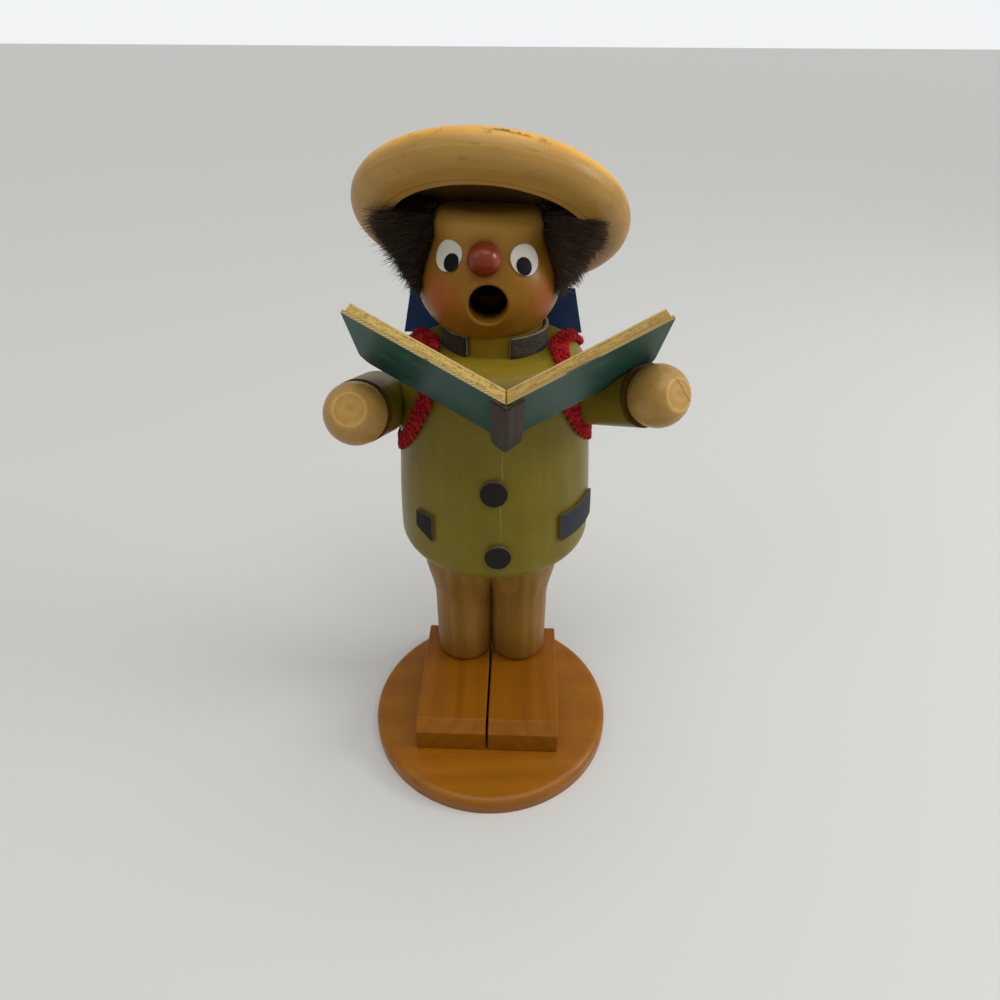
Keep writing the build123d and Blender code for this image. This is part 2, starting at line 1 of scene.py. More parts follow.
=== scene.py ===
# %% [markdown]
# # A hiker in turned wood who reads and smokes
# The real object is an incense smoker: a wooden figure from the lathe whose jacket is
# hollow and lifts off, so that an incense cone can burn inside and smoke by the mouth.
# The CAD frame already has every wooden piece in its place and size. This lesson gives
# each of them a finish, and makes the soft pieces, which a CAD solid only stands in for.
# Lengths are in metres, and left and right are the viewer's.

import math
import random

import bmesh
import bpy
from mathutils import Matrix, Vector, noise
from mathutils.bvhtree import BVHTree


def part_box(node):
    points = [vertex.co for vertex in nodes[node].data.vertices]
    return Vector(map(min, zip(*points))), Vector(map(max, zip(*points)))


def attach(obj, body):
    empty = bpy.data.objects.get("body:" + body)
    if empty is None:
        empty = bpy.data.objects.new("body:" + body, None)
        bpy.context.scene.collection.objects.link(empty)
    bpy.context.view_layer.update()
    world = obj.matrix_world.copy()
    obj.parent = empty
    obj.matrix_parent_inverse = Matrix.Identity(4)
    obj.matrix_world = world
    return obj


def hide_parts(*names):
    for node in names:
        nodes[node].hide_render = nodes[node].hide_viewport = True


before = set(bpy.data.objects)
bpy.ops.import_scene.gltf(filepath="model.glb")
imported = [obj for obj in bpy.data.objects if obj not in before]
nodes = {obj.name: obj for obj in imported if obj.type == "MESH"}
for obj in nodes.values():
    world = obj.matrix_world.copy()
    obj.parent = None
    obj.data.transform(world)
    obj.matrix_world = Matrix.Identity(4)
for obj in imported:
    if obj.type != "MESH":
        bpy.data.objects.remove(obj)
scene = bpy.context.scene
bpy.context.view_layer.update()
AXIS = Vector((0.0012, 0.0175, 0))   # the jacket was turned about this upright line
LEVEL = Vector((1, 1, 0))            # times a vector, keeps its level part
SIDES = {-1: "left", 1: "right"}

# %% [markdown]
# ## Camera
# A photograph's camera can be found from things of known shape, such as the round base
# and the hat's round brim. This one stands in front of the figure, looks down at it and
# is rolled by a third of a degree. The focal length is given in pixels of a square image.

# %% Camera
CAMERA_PLACE = (0.00293, -0.17522, 0.21386)
CAMERA_DOWN = math.radians(33.94)
CAMERA_ROLL = math.radians(0.35)
FOCAL_PIXELS = 700
IMAGE_PIXELS = 1000
NEAREST_SEEN = 0.01

camera_data = bpy.data.cameras.new("camera")
camera_data.sensor_fit = "HORIZONTAL"
camera_data.lens = camera_data.sensor_width * FOCAL_PIXELS / IMAGE_PIXELS
camera_data.clip_start = NEAREST_SEEN
camera = bpy.data.objects.new("camera", camera_data)
look_down = Matrix.Rotation(math.pi / 2 - CAMERA_DOWN, 4, "X")
roll = Matrix.Rotation(CAMERA_ROLL, 4, "Z")
camera.matrix_world = Matrix.Translation(CAMERA_PLACE) @ look_down @ roll
scene.collection.objects.link(camera)
scene.camera = camera
print("lens", round(camera_data.lens, 2), "mm")

# %% [markdown]
# ## Small helpers for shader nodes
# A material is a tree of nodes. Nodes adds a node to any tree, fills its inputs with plain
# values or with links, and gives back a socket. Finish is a material whose colour is
# painted layer by layer, so that it reads like a recipe.


# %% Shader helpers
def opaque(colour):
    """Colour with full alpha. A socket stays as it is."""
    return colour if isinstance(colour, bpy.types.NodeSocket) else (*colour, 1)


class Nodes:
    """Node tree with short names for the usual nodes."""

    def __init__(self, tree):
        self.tree = tree

    def link(self, source, target):
        self.tree.links.new(source, target)

    def add(self, kind, inputs=None, **settings):
        """Add a node. An input is a plain value or another node's output socket."""
        node = self.tree.nodes.new("ShaderNode" + kind)
        for name, value in settings.items():
            setattr(node, name, value)
        for name, value in (inputs or {}).items():
            if isinstance(value, bpy.types.NodeSocket):
                self.link(value, node.inputs[name])
            else:
                node.inputs[name].default_value = value
        return node

    def maths(self, operation, a, b=0.0):
        return self.add("Math", {0: a, 1: b}, operation=operation).outputs[0]

    def plus(self, a, b):
        return self.maths("ADD", a, b)

    def minus(self, a, b):
        return self.maths("SUBTRACT", a, b)

    def times(self, a, b):
        return self.maths("MULTIPLY", a, b)

    def vectors(self, operation, a, b=(0, 0, 0)):
        return self.add("VectorMath", {0: a, 1: b}, operation=operation).outputs

    def offset(self, a, b):
        return self.vectors("SUBTRACT", a, b)[0]

    def scaled(self, a, b):
        return self.vectors("MULTIPLY", a, b)[0]

    def dot(self, a, b):
        return self.vectors("DOT_PRODUCT", a, b)["Value"]

    def distance(self, a, b):
        return self.vectors("DISTANCE", a, b)["Value"]

    def axes(self, vector):
        return self.add("SeparateXYZ", {0: vector}).outputs

    def point(self, **axes):
        return self.add("CombineXYZ", axes).outputs[0]

    def step(self, value, low, high):
        """0 at low, 1 at high, with a soft ramp between them."""
        ends = {"Value": value, "From Min": low, "From Max": high}
        return self.add("MapRange", ends, interpolation_type="SMOOTHSTEP").outputs["Result"]

    def band(self, value, low, high, soft):
        """1 between two values, with soft ends."""
        return self.times(self.step(value, low, low + soft), self.step(value, high, high - soft))

    def mix(self, share, first, second):
        """Mix two colours."""
        inputs = {0: share, 6: opaque(first), 7: opaque(second)}
        return self.add("Mix", inputs, data_type="RGBA").outputs[2]

    def speckle(self, place, scale, detail, roughness, distortion=0.0):
        """Cloudy noise from 0 to 1."""
        look = {"Vector": place, "Scale": scale, "Detail": detail, "Roughness": roughness,
                "Distortion": distortion}
        return self.add("TexNoise", look).outputs["Fac"]


class Finish(Nodes):
    """Material in the making, with the coordinates its patterns read and its colour so far."""

    def __init__(self, name, sockets):
        self.material = bpy.data.materials.new(name)
        self.material.use_nodes = True
        super().__init__(self.material.node_tree)
        self.shader = self.tree.nodes["Principled BSDF"].inputs
        for socket, value in sockets.items():
            self.shader[socket].default_value = value
        coordinates = self.add("TexCoord").outputs
        self.place, self.normal = coordinates["Object"], coordinates["Normal"]

    def group(self, tree, inputs):
        """Place a node group, which reads the surface's place if no other is given."""
        return self.add("Group", {"Vector": self.place, **inputs}, node_tree=tree).outputs

    def turned(self, centre, along=(0, 0, 1), spin=0.0):
        """The surface's place seen from a centre, turned so that a direction becomes +Z."""
        moved = self.add("Mapping", {"Vector": self.place, "Location": [-c for c in centre]}).outputs[0]
        turn = Vector(along).rotation_difference(Vector((0, 0, 1)))
        angles = (Matrix.Rotation(math.radians(spin), 3, "Z") @ turn.to_matrix()).to_euler("XYZ")
        return self.add("Mapping", {"Vector": moved, "Rotation": list(angles)}).outputs[0]

    def start(self, share, first, second):
        """First layer, a mix of two colours."""
        self.colour = self.mix(share, first, second)

    def paint(self, mask, colour, strength=None):
        """Lay a colour over the others where a mask is 1, at full strength or less."""
        share = mask if strength is None else self.times(mask, strength)
        self.colour = self.mix(share, self.colour, colour)

    def roughen(self, least, mask, more):
        self.link(self.plus(least, self.times(mask, more)), self.shader["Roughness"])

    def bump(self, height, distance, strength):
        look = {"Height": height, "Distance": distance, "Strength": strength}
        self.link(self.add("Bump", look).outputs["Normal"], self.shader["Normal"])

    def done(self):
        """Send the colour to the shader and give the material."""
        self.link(self.colour, self.shader["Base Color"])
        return self.material

    def dress(self, *names):
        """Give CAD nodes this finish."""
        self.done()
        for name in names:
            nodes[name].data.materials.clear()
            nodes[name].data.materials.append(self.material)


print("helpers ready")

# %% [markdown]
# ## Floor and light
# The figure stands on a pale table under a wide light from above, a sun lamp with a large
# angle, which lights the table evenly as far as it reaches. The table throws light up
# under the hat's brim and on the jacket's hem. Two weak lamps fill the sides. The world
# shows as nearly white to the camera, and lights and mirrors less strongly than that.

# %% Floor, light and world
scene.view_settings.view_transform = "Standard"


def add_lamp(name, kind, strength, way, place=(0, 0, 0)):
    """Lamp at a place that shines along a direction. Gives its data."""
    data = bpy.data.lights.new(name, kind)
    data.energy = strength
    lamp = bpy.data.objects.new(name, data)
    aim = Vector(way).to_track_quat("-Z", "Y")
    lamp.matrix_world = Matrix.Translation(place) @ aim.to_matrix().to_4x4()
    scene.collection.objects.link(lamp)
    return data


def soft_light(name, place, target, size, watts):
    """Square area lamp at a place, turned to a target."""
    add_lamp(name, "AREA", watts, Vector(target) - Vector(place), place).size = size


ceiling = add_lamp("ceiling_light", "SUN", strength=1.95, way=(-0.16, 0.16, -1.0))
ceiling.angle = math.radians(65)
soft_light("window_light", (-0.75, -0.45, 0.75), (0, 0, 0.1), size=0.5, watts=1.0)
soft_light("side_light", (0.8, -0.05, 0.45), (0, 0.02, 0.12), size=0.3, watts=2.6)

AMBIENT = 0.24       # strength of the world's light
PALE = 0.92          # strength that the camera sees
MIRRORED = 0.45      # share of the way between them that reflections see
FLOOR_HALF = 12.0
world = bpy.data.worlds.new("studio")
world.use_nodes = True
scene.world = world
sky = Nodes(world.node_tree)
rays = sky.add("LightPath").outputs
mirrored = sky.times(rays["Is Glossy Ray"], MIRRORED)
seen = sky.maths("MAXIMUM", rays["Is Camera Ray"], rays["Is Transmission Ray"])
shown = sky.maths("MAXIMUM", seen, mirrored)
strength = sky.add("MapRange", {"Value": shown, "To Min": AMBIENT, "To Max": PALE})
background = world.node_tree.nodes["Background"].inputs
background["Color"].default_value = (0.96, 0.98, 1.0, 1)
sky.link(strength.outputs["Result"], background["Strength"])

floor_mesh = bpy.data.meshes.new("floor")
shape = bmesh.new()
bmesh.ops.create_grid(shape, x_segments=1, y_segments=1, size=FLOOR_HALF)
shape.to_mesh(floor_mesh)
shape.free()
floor = bpy.data.objects.new("floor", floor_mesh)
scene.collection.objects.link(floor)
floor_finish = bpy.data.materials.new("floor_finish")
floor_finish.use_nodes = True
floor_shader = floor_finish.node_tree.nodes["Principled BSDF"].inputs
floor_shader["Base Color"].default_value = (0.62, 0.615, 0.585, 1)
floor_shader["Roughness"].default_value = 0.55
floor_mesh.materials.append(floor_finish)

# %% [markdown]
# ## Effects that several finishes share
# Wood grain, handling wear, drying cracks and soft spots come back on many pieces, so
# each is a node group with named inputs. A group gives out only masks, and the colours
# and the shader stay in each material.


# %% Node groups
class Group(Nodes):
    """Node group in the making: numbers and vectors go in, masks come out."""

    def __init__(self, name, numbers, masks, vectors=("Vector",)):
        super().__init__(bpy.data.node_groups.new(name, "ShaderNodeTree"))
        for label in vectors:
            self.socket(label, "INPUT", "NodeSocketVector")
        for label, value in numbers.items():
            self.socket(label, "INPUT", "NodeSocketFloat").default_value = value
        for label in masks:
            self.socket(label, "OUTPUT", "NodeSocketFloat")
        self.given = self.tree.nodes.new("NodeGroupInput").outputs
        self.out = self.tree.nodes.new("NodeGroupOutput").inputs

    def socket(self, label, way, kind):
        return self.tree.interface.new_socket(label, in_out=way, socket_type=kind)

    def give(self, **masks):
        """Link the masks and give the finished tree."""
        for label, mask in masks.items():
            self.link(mask, self.out[label])
        return self.tree


def make_wood_grain():
    """Streaks and pores along Z, with growth rings about it."""
    wood = Group("wood_grain", {"Scale": 300.0, "Stretch": 14.0, "Rings": 120.0}, ("Grain", "Pores"))
    place, scale = wood.given["Vector"], wood.given["Scale"]
    shrink = wood.maths("DIVIDE", 1.0, wood.given["Stretch"])
    long_place = wood.scaled(place, wood.point(X=1.0, Y=1.0, Z=shrink))
    short_place = wood.scaled(place, wood.point(X=1.0, Y=1.0, Z=wood.times(shrink, 3.5)))
    streaks = wood.speckle(long_place, scale, 5.0, 0.62, 0.5)
    fine = wood.speckle(long_place, wood.times(scale, 5.0), 3.0, 0.6)
    ring_look = {"Vector": long_place, "Scale": wood.given["Rings"], "Distortion": 5.0, "Detail": 2.0,
                 "Detail Scale": 1.5}
    rings = wood.add("TexWave", ring_look, wave_type="RINGS", rings_direction="Z").outputs["Fac"]
    both = wood.plus(wood.times(streaks, 0.6), wood.times(fine, 0.2))
    grain = wood.plus(both, wood.times(rings, 0.2))
    pores = wood.speckle(short_place, wood.times(scale, 9.0), 2.0, 0.5)
    return wood.give(Grain=wood.step(grain, 0.22, 0.76), Pores=wood.step(pores, 0.6, 0.74))


def make_handling_wear():
    """Soft grime, and hairline scratches that follow the contours of a noise."""
    wear = Group("handling_wear", {"Scale": 60.0, "Scratch Width": 0.006}, ("Grime", "Scratches"))
    place, scale = wear.given["Vector"], wear.given["Scale"]
    cloud = wear.speckle(place, scale, 6.0, 0.68)
    field = wear.speckle(place, wear.times(scale, 1.7), 1.0, 0.4, 1.5)
    off_line = wear.maths("ABSOLUTE", wear.minus(field, 0.5))
    line = wear.step(off_line, wear.given["Scratch Width"], 0.0)
    patches = wear.step(wear.speckle(place, wear.times(scale, 2.3), 3.0, 0.6), 0.52, 0.66)
    return wear.give(Grime=wear.step(cloud, 0.45, 0.72), Scratches=wear.times(line, patches))


def make_drying_crack():
    """Crack in the plane X = 0 that wanders along Z between two heights, where Y is negative."""
    numbers = {"Half Width": 0.0003, "Wander": 0.003, "Low": -0.01, "High": 0.01, "Wave Scale": 120.0}
    crack = Group("drying_crack", numbers, ("Crack",))
    place, low, high = (crack.given[label] for label in ("Vector", "Low", "High"))
    split = crack.axes(place)
    wave = crack.speckle(crack.point(Z=split["Z"]), crack.given["Wave Scale"], 3.0, 0.65)
    shift = crack.times(crack.minus(wave, 0.5), crack.given["Wander"])
    away = crack.maths("ABSOLUTE", crack.plus(split["X"], shift))
    fray = crack.speckle(place, 900.0, 2.0, 0.5)
    width = crack.times(crack.given["Half Width"], crack.times(fray, 2.0))
    line = crack.step(away, width, crack.times(width, 0.3))
    fade = crack.times(crack.minus(high, low), 0.15)
    rise = crack.step(split["Z"], low, crack.plus(low, fade))
    fall = crack.step(split["Z"], high, crack.minus(high, fade))
    ahead = crack.step(split["Y"], 0.0, -0.001)
    window = crack.times(crack.times(rise, fall), ahead)
    return crack.give(Crack=crack.times(line, window))


def make_soft_spot():
    """1 at a centre, falling to 0 at a radius."""
    spot = Group("soft_spot", {"Radius": 0.005}, ("Spot",), ("Vector", "Centre"))
    away = spot.distance(spot.given["Vector"], spot.given["Centre"])
    return spot.give(Spot=spot.step(away, spot.given["Radius"], 0.0))


def make_hide_nap():
    """Short brushed nap of suede and the creases of thin leather."""
    hide = Group("hide_nap", {"Scale": 900.0}, ("Nap", "Creases"))
    place, scale = hide.given["Vector"], hide.given["Scale"]
    fine = hide.speckle(place, scale, 4.0, 0.75, 0.8)
    cell_look = {"Vector": place, "Scale": hide.times(scale, 0.8)}
    cells = hide.add("TexVoronoi", cell_look, feature="DISTANCE_TO_EDGE").outputs["Distance"]
    return hide.give(Nap=hide.step(fine, 0.3, 0.7), Creases=hide.step(cells, 0.0, 0.12))


wood_grain = make_wood_grain()
handling_wear = make_handling_wear()
drying_crack = make_drying_crack()
soft_spot = make_soft_spot()
hide_nap = make_hide_nap()


def paint_crack(finish, place, colour, strength, half_width, wander, span, wave=120.0):
    """Paint a drying crack that runs along a place's Z."""
    look = {"Vector": place, "Half Width": half_width, "Wander": wander, "Low": span[0],
            "High": span[1], "Wave Scale": wave}
    finish.paint(finish.group(drying_crack, look)["Crack"], colour, strength)


def paint_spot(finish, centre, radius, colour, strength):
    """Dab a soft spot on a finish."""
    spot = finish.group(soft_spot, {"Centre": centre, "Radius": radius})["Spot"]
    finish.paint(spot, colour, strength)


print("groups", [g.name for g in bpy.data.node_groups])

# %% [markdown]
# ## Stained and varnished wood
# Most pieces are one kind of wood under different stains. The stain soaks in unevenly,
# so the grain shows as lighter and darker streaks along the piece, and the varnish over
# it gives a coat with small scratches where hands have held it.

# %% Stained wood
PORE_SHADE = 0.55       # pores and grime are this share of the darker colour
PORE_STRENGTH = 0.42
BASE_CRACK = (-0.0315, -0.0102, 0.010)
RED_FOOT = (0.036, 0.019)       # the legs turn redder from the first height down to the second
SOOT = (AXIS.x, AXIS.y, 0.077)
SOOT_RADIUS = 0.02


def stained_wood(name, dark, light, roughness, coat, grain, along=(0, 0, 1), centre=(0, 0, 0),
                 wear=0.25, specular=0.2, coat_roughness=0.2):
    """Start a wood finish. Grain is its scale, its stretch and the scale of its rings."""
    finish = Finish(name, {"Coat Weight": coat, "Coat Roughness": coat_roughness,
                           "Specular IOR Level": specular})
    scale, stretch, rings = grain
    wood = finish.group(wood_grain, {"Vector": finish.turned(centre, along), "Scale": scale,
                                     "Stretch": stretch, "Rings": rings})
    worn = finish.group(handling_wear, {})
    shade = [PORE_SHADE * c for c in dark]
    finish.start(wood["Grain"], dark, light)
    finish.paint(wood["Pores"], shade, PORE_STRENGTH)
    finish.paint(worn["Grime"], shade, wear)
    scratched = finish.plus(roughness, finish.times(worn["Scratches"], 0.25))
    finish.roughen(scratched, worn["Grime"], 0.08)
    finish.bump(finish.minus(wood["Grain"], worn["Scratches"]), 0.00005, 0.5)
    finish.grain = wood["Grain"]
    return finish


def base_stain():
    """Orange stain on the base, with a drying crack near its left edge."""
    base = stained_wood("base_stain", dark=(0.250, 0.082, 0.0016), light=(0.305, 0.110, 0.0034),
                        roughness=0.36, coat=0.12, grain=(240.0, 22.0, 30.0), along=(1, 0.06, 0))
    across = base.turned(BASE_CRACK, (0.96, -0.28, 0), 90)
    paint_crack(base, across, (0.06, 0.016, 0.002), 0.8, half_width=0.00022, wander=0.0012,
                span=(-0.0085, 0.0085))
    base.dress("base_disc")


def brown_stain():
    """Brown legs, redder at the foot."""
    leg = stained_wood("brown_stain", dark=(0.215, 0.098, 0.012), light=(0.305, 0.155, 0.026),
                       roughness=0.4, coat=0.1, grain=(420.0, 26.0, 60.0), centre=(0.004, 0.004, 0))
    foot = leg.step(leg.axes(leg.place)["Z"], *RED_FOOT)
    leg.paint(foot, (0.15, 0.045, 0.003), 0.55)
    leg.dress("left_leg", "right_leg")


def plain_wood():
    """Bare wood of the plate and the dowels, sooty round the dish."""
    bare = stained_wood("plain_wood", dark=(0.42, 0.26, 0.12), light=(0.62, 0.44, 0.24),
                        roughness=0.62, coat=0.0, grain=(200.0, 14.0, 80.0), along=(1, 0, 0))
    paint_spot(bare, SOOT, SOOT_RADIUS, (0.05, 0.03, 0.015), 0.7)
    bare.dress("waist_plate", "left_leg_dowel", "right_leg_dowel", "left_hip_dowel", "right_hip_dowel",
               "hat_dowel", "left_arm_dowel", "right_arm_dowel", "rucksack_dowels")


stained_wood("shoe_stain", dark=(0.215, 0.067, 0.001), light=(0.270, 0.092, 0.002), roughness=0.4,
             coat=0.06, grain=(260.0, 18.0, 60.0), along=(0, 1, 0)).dress("left_shoe", "right_shoe")
stained_wood("pack_stain", dark=(0.15, 0.066, 0.012), light=(0.25, 0.125, 0.030), roughness=0.4,
             coat=0.1, grain=(160.0, 16.0, 70.0)).dress("rucksack")
base_stain()
brown_stain()
plain_wood()
print("stand and rucksack stained")

# %% [markdown]
# ## Green jacket
# The jacket's olive stain is thin, so the wood's upright grain shines through it, and from
# the yoke up it is painted lighter and golden, a painted highlight. Inside, the chamber is
# bare wood that smoke has browned. A surface whose normal points back to the axis is
# inside, so the mask comes from the normal and the radius together.

# %% Jacket and sleeves
JACKET_CRACK = (0.0034, AXIS.y, 0.105)
DENT = (-0.0040, -0.0123, 0.1101)
DENT_RADIUS = 0.0016
YOKE_PAINTED_HIGHLIGHT = (0.1345, 0.1400)  # heights over which the painted highlight fades in
FACES_AXIS = (-0.0005, -0.002)  # a normal's part along the radius, times the radius
SLEEVE_LENGTH = 0.0245
CUFF_RING = (0.0011, 0.0007)    # the cuff's brown ring fades in at these distances from its end


def from_axis(finish):
    """Level vector from the jacket's axis to the surface."""
    return finish.scaled(finish.offset(finish.place, AXIS), LEVEL)


def green_stain():
    jacket = stained_wood("green_stain", dark=(0.162, 0.122, 0.0075), light=(0.194, 0.150, 0.0110),
                          roughness=0.34, coat=0.14, grain=(300.0, 22.0, 50.0),
                          centre=(0.012, 0.03, 0), wear=0.15, specular=0.1)
    front = jacket.turned(JACKET_CRACK)
    paint_crack(jacket, front, (0.42, 0.34, 0.09), 0.4, half_width=0.0002, wander=0.004,
                span=(-0.018, 0.018), wave=55.0)
    paint_spot(jacket, DENT, DENT_RADIUS, (0.06, 0.045, 0.01), 0.8)
    # Painted highlight: from the yoke up the stain is painted lighter and golden.
    painted_highlight = jacket.step(jacket.axes(jacket.place)["Z"], *YOKE_PAINTED_HIGHLIGHT)
    jacket.paint(painted_highlight, (0.34, 0.236, 0.022), 0.6)
    bare = jacket.mix(jacket.grain, (0.10, 0.055, 0.02), (0.30, 0.18, 0.08))
    inside = jacket.step(jacket.dot(from_axis(jacket), jacket.normal), *FACES_AXIS)
    jacket.paint(inside, bare)
    jacket.dress("jacket")


def sleeve_stain(side, shoulder, way):
    """Olive sleeve, painted dark brown in a ring at the cuff's end."""
    sleeve = stained_wood(side + "_sleeve_stain", dark=(0.128, 0.094, 0.0065),
                          light=(0.165, 0.126, 0.011), roughness=0.36, coat=0.04,
                          grain=(300.0, 20.0, 50.0), along=way, centre=shoulder, wear=0.3, specular=0.1)
    ahead = sleeve.axes(sleeve.turned(shoulder, way))["Z"]
    cuff = sleeve.step(ahead, *(SLEEVE_LENGTH - before for before in CUFF_RING))
    sleeve.paint(cuff, (0.070, 0.030, 0.006), 0.9)
    sleeve.dress(side + "_sleeve")


green_stain()
sleeve_stain("left", shoulder=(-0.0337, 0.0142, 0.1211), way=(-0.0294, -0.9362, 0.3502))
sleeve_stain("right", shoulder=(0.0273, 0.0114, 0.1265), way=(0.5641, -0.7623, 0.3173))
print("green finishes made")

# %% [markdown]
# ## Hat, face, hands and nose
# These are clear or lightly tinted lacquer on pale wood. The hat's upper side is painted
# brighter and yellower, painted light from above, and its hollow is painted dark, painted
# shade. The brim's height is measured along the hat's own upright direction, because the hat
# is tipped back. The face has two rosy spots, soft at the edge as if they were dabbed on, it
# is painted paler under the brim, painted light against the hat's shadow, and the mouth's
# bore is painted black from a little way in.

# %% Lacquered wood
HAT_POINT = Vector((-0.0004, 0.018, 0.1679))
HAT_UP = Vector((0.0854, 0.6107, 0.7872)).normalized()
HAT_CRACK = (0.0045, -0.0064, 0.1950)
HAT_GROOVE = (0.0283, 0.0291)   # radii on the brim's underside
HAT_LIP_HIGHLIGHT = (0.0262, 0.0271)
HAT_INSIDE_SHADE = (0.0264, 0.0262)   # radii over which the painted shade of the hollow fades in, and its heights
HAT_INSIDE_SHADE_TOP = (0.0082, 0.0078)
HAT_UNDERSIDE = (0.003, 0.001)  # heights along HAT_UP
HAT_LIT_TOP = (0.0045, 0.0085)
HAT_STAINED = (0.0055, 0.0102)
BROW_PAINTED_LIGHT = (0.166, 0.178)
CHEEK_RADIUS = 0.0085
CHEEKS = ((-0.0133, 0.0031, 0.1571), (0.0143, 0.0049, 0.1554))
MOUTH = (-0.0004, 0, 0.1558)
MOUTH_SPOT = 0.02               # radius of a soft spot, and its strength at the bore's edge
MOUTH_EDGE = (0.82, 0.84)
MOUTH_DARK = (0.0015, 0.009)  # from here back the bore gets black
NOSE_LIT_TOP = (0.1645, 0.1695)
NOSE_PALE_SPOT = (0.0022, -0.001, 0.1668)
NOSE_PALE_SPOT_RADIUS = 0.0032
HAND_FLAT = (-0.0006, -0.0001)  # heights over which the flat tip's colour fades in
HAND_RIM_HIGHLIGHT = (0.0037, 0.0047)     # painted highlight in a pale ring round the flat tip


def hat_lacquer():
    """Beige brim with turning rings and a chipped crack on its front. Its upper side is painted brighter
    and yellower, painted light, its hollow dark, painted shade, and the hollow's edge has a painted
    highlight.
    """
    hat = stained_wood("hat_lacquer", dark=(0.42, 0.228, 0.050), light=(0.49, 0.278, 0.068),
                       roughness=0.42, coat=0.1, grain=(110.0, 14.0, 30.0), along=(1, 0, -0.1),
                       centre=(0, 0.05, 0.16), wear=0.2)
    lifted = hat.offset(hat.place, HAT_POINT)
    height = hat.dot(lifted, HAT_UP)
    upright = hat.vectors("PROJECT", lifted, HAT_UP)[0]
    radius = hat.vectors("LENGTH", hat.offset(lifted, upright))["Value"]
    rings = hat.speckle(hat.point(X=radius, Y=height), 900.0, 3.0, 0.6)
    hat.paint(hat.step(rings, 0.62, 0.38), (0.33, 0.175, 0.045), 0.3)
    under = hat.step(height, *HAT_UNDERSIDE)
    groove = hat.band(radius, *HAT_GROOVE, 0.0003)
    hat.paint(hat.times(groove, under), (0.18, 0.085, 0.022), 0.45)
    # Painted highlight: a pale line round the hollow's edge on the brim's underside.
    lip_highlight = hat.band(radius, *HAT_LIP_HIGHLIGHT, 0.0002)
    hat.paint(hat.times(lip_highlight, under), (0.56, 0.36, 0.14), 0.5)
    # Painted light: the brim's upper side is painted brighter and yellower, as if lit from above.
    lit_top = hat.mix(hat.grain, (0.80, 0.400, 0.055), (0.90, 0.500, 0.085))
    hat.paint(hat.step(height, *HAT_LIT_TOP), lit_top)
    blots = hat.step(hat.speckle(hat.place, 190.0, 5.0, 0.7), 0.54, 0.68)
    stains = hat.times(blots, hat.band(height, *HAT_STAINED, 0.0015))
    hat.paint(stains, (0.20, 0.075, 0.014), 0.6)
    # Painted shade: the hat's hollow, where the head sits, is painted dark brown.
    hollow = hat.times(hat.step(radius, *HAT_INSIDE_SHADE), hat.step(height, *HAT_INSIDE_SHADE_TOP))
    hat.paint(hollow, (0.060, 0.030, 0.012), 0.92)
    along_edge = hat.turned(HAT_CRACK, (0.985, 0.0, -0.17), 125)
    paint_crack(hat, along_edge, (0.075, 0.022, 0.008), 0.85, half_width=0.0007, wander=0.0028,
                span=(-0.010, 0.0085), wave=260.0)
    hat.dress("hat")


def face_lacquer():
    face = stained_wood("face_lacquer", dark=(0.275, 0.120, 0.010), light=(0.345, 0.168, 0.021),
                        roughness=0.36, coat=0.1, grain=(300.0, 10.0, 50.0), centre=(0.01, 0.05, 0),
                        specular=0.12)
    for cheek in CHEEKS:
        paint_spot(face, cheek, CHEEK_RADIUS, (0.40, 0.066, 0.022), 0.7)
    split = face.axes(face.place)
    # Painted light: the face is painted paler towards the brow, against the hat's shadow.
    face.paint(face.step(split["Z"], *BROW_PAINTED_LIGHT), (0.62, 0.340, 0.070), 0.85)
    ahead = {"Vector": face.point(X=split["X"], Z=split["Z"]), "Centre": MOUTH,
             "Radius": MOUTH_SPOT}
    within = face.step(face.group(soft_spot, ahead)["Spot"], *MOUTH_EDGE)
    deep = face.step(split["Y"], *MOUTH_DARK)
    face.paint(face.times(deep, within), (0.012, 0.008, 0.005))
    face.dress("head")


def hand_lacquer(side, way, tip, checks=()):
    """Ball with end grain on its flat tip and a painted highlight in a pale ring round it. Checks are
    drying cracks.
    """
    hand = stained_wood(side + "_hand_lacquer", dark=(0.37, 0.195, 0.040), light=(0.46, 0.265, 0.068),
                        roughness=0.34, coat=0.15, grain=(240.0, 6.0, 90.0), along=way, centre=tip,
                        wear=0.3)
    ahead = hand.axes(hand.turned(tip, way))["Z"]
    facet = hand.mix(hand.grain, (0.43, 0.225, 0.045), (0.53, 0.310, 0.085))
    hand.paint(hand.step(ahead, *HAND_FLAT), facet, 0.7)
    # Painted highlight: a pale ring round the flat tip's edge.
    painted_highlight = hand.band(hand.distance(hand.place, tip), *HAND_RIM_HIGHLIGHT, 0.0004)
    hand.paint(painted_highlight, (0.64, 0.43, 0.16), 0.5)
    for shift in checks:
        across = hand.turned(tip, (way[2], 0, -way[0]), 90)
        split = hand.add("Mapping", {"Vector": across, "Location": (shift, 0, 0)}).outputs[0]
        paint_crack(hand, split, (0.10, 0.05, 0.012), 0.8, half_width=0.00014, wander=0.0016,
                    span=(-0.006, 0.005), wave=300.0)
    hand.dress(side + "_hand")


def red_lacquer():
    """Red nose, painted paler on top as painted light from above, with a pale spot on its right."""
    nose = stained_wood("red_lacquer", dark=(0.150, 0.010, 0.003), light=(0.225, 0.020, 0.006),
                        roughness=0.32, coat=0.25, grain=(400.0, 6.0, 150.0), wear=0.2,
                        coat_roughness=0.1)
    # Painted light: the nose is painted paler and more orange on top, as if lit from above.
    nose.paint(nose.step(nose.axes(nose.place)["Z"], *NOSE_LIT_TOP), (0.33, 0.072, 0.020), 0.4)
    paint_spot(nose, NOSE_PALE_SPOT, NOSE_PALE_SPOT_RADIUS, (0.40, 0.13, 0.06), 0.5)
    nose.dress("nose")


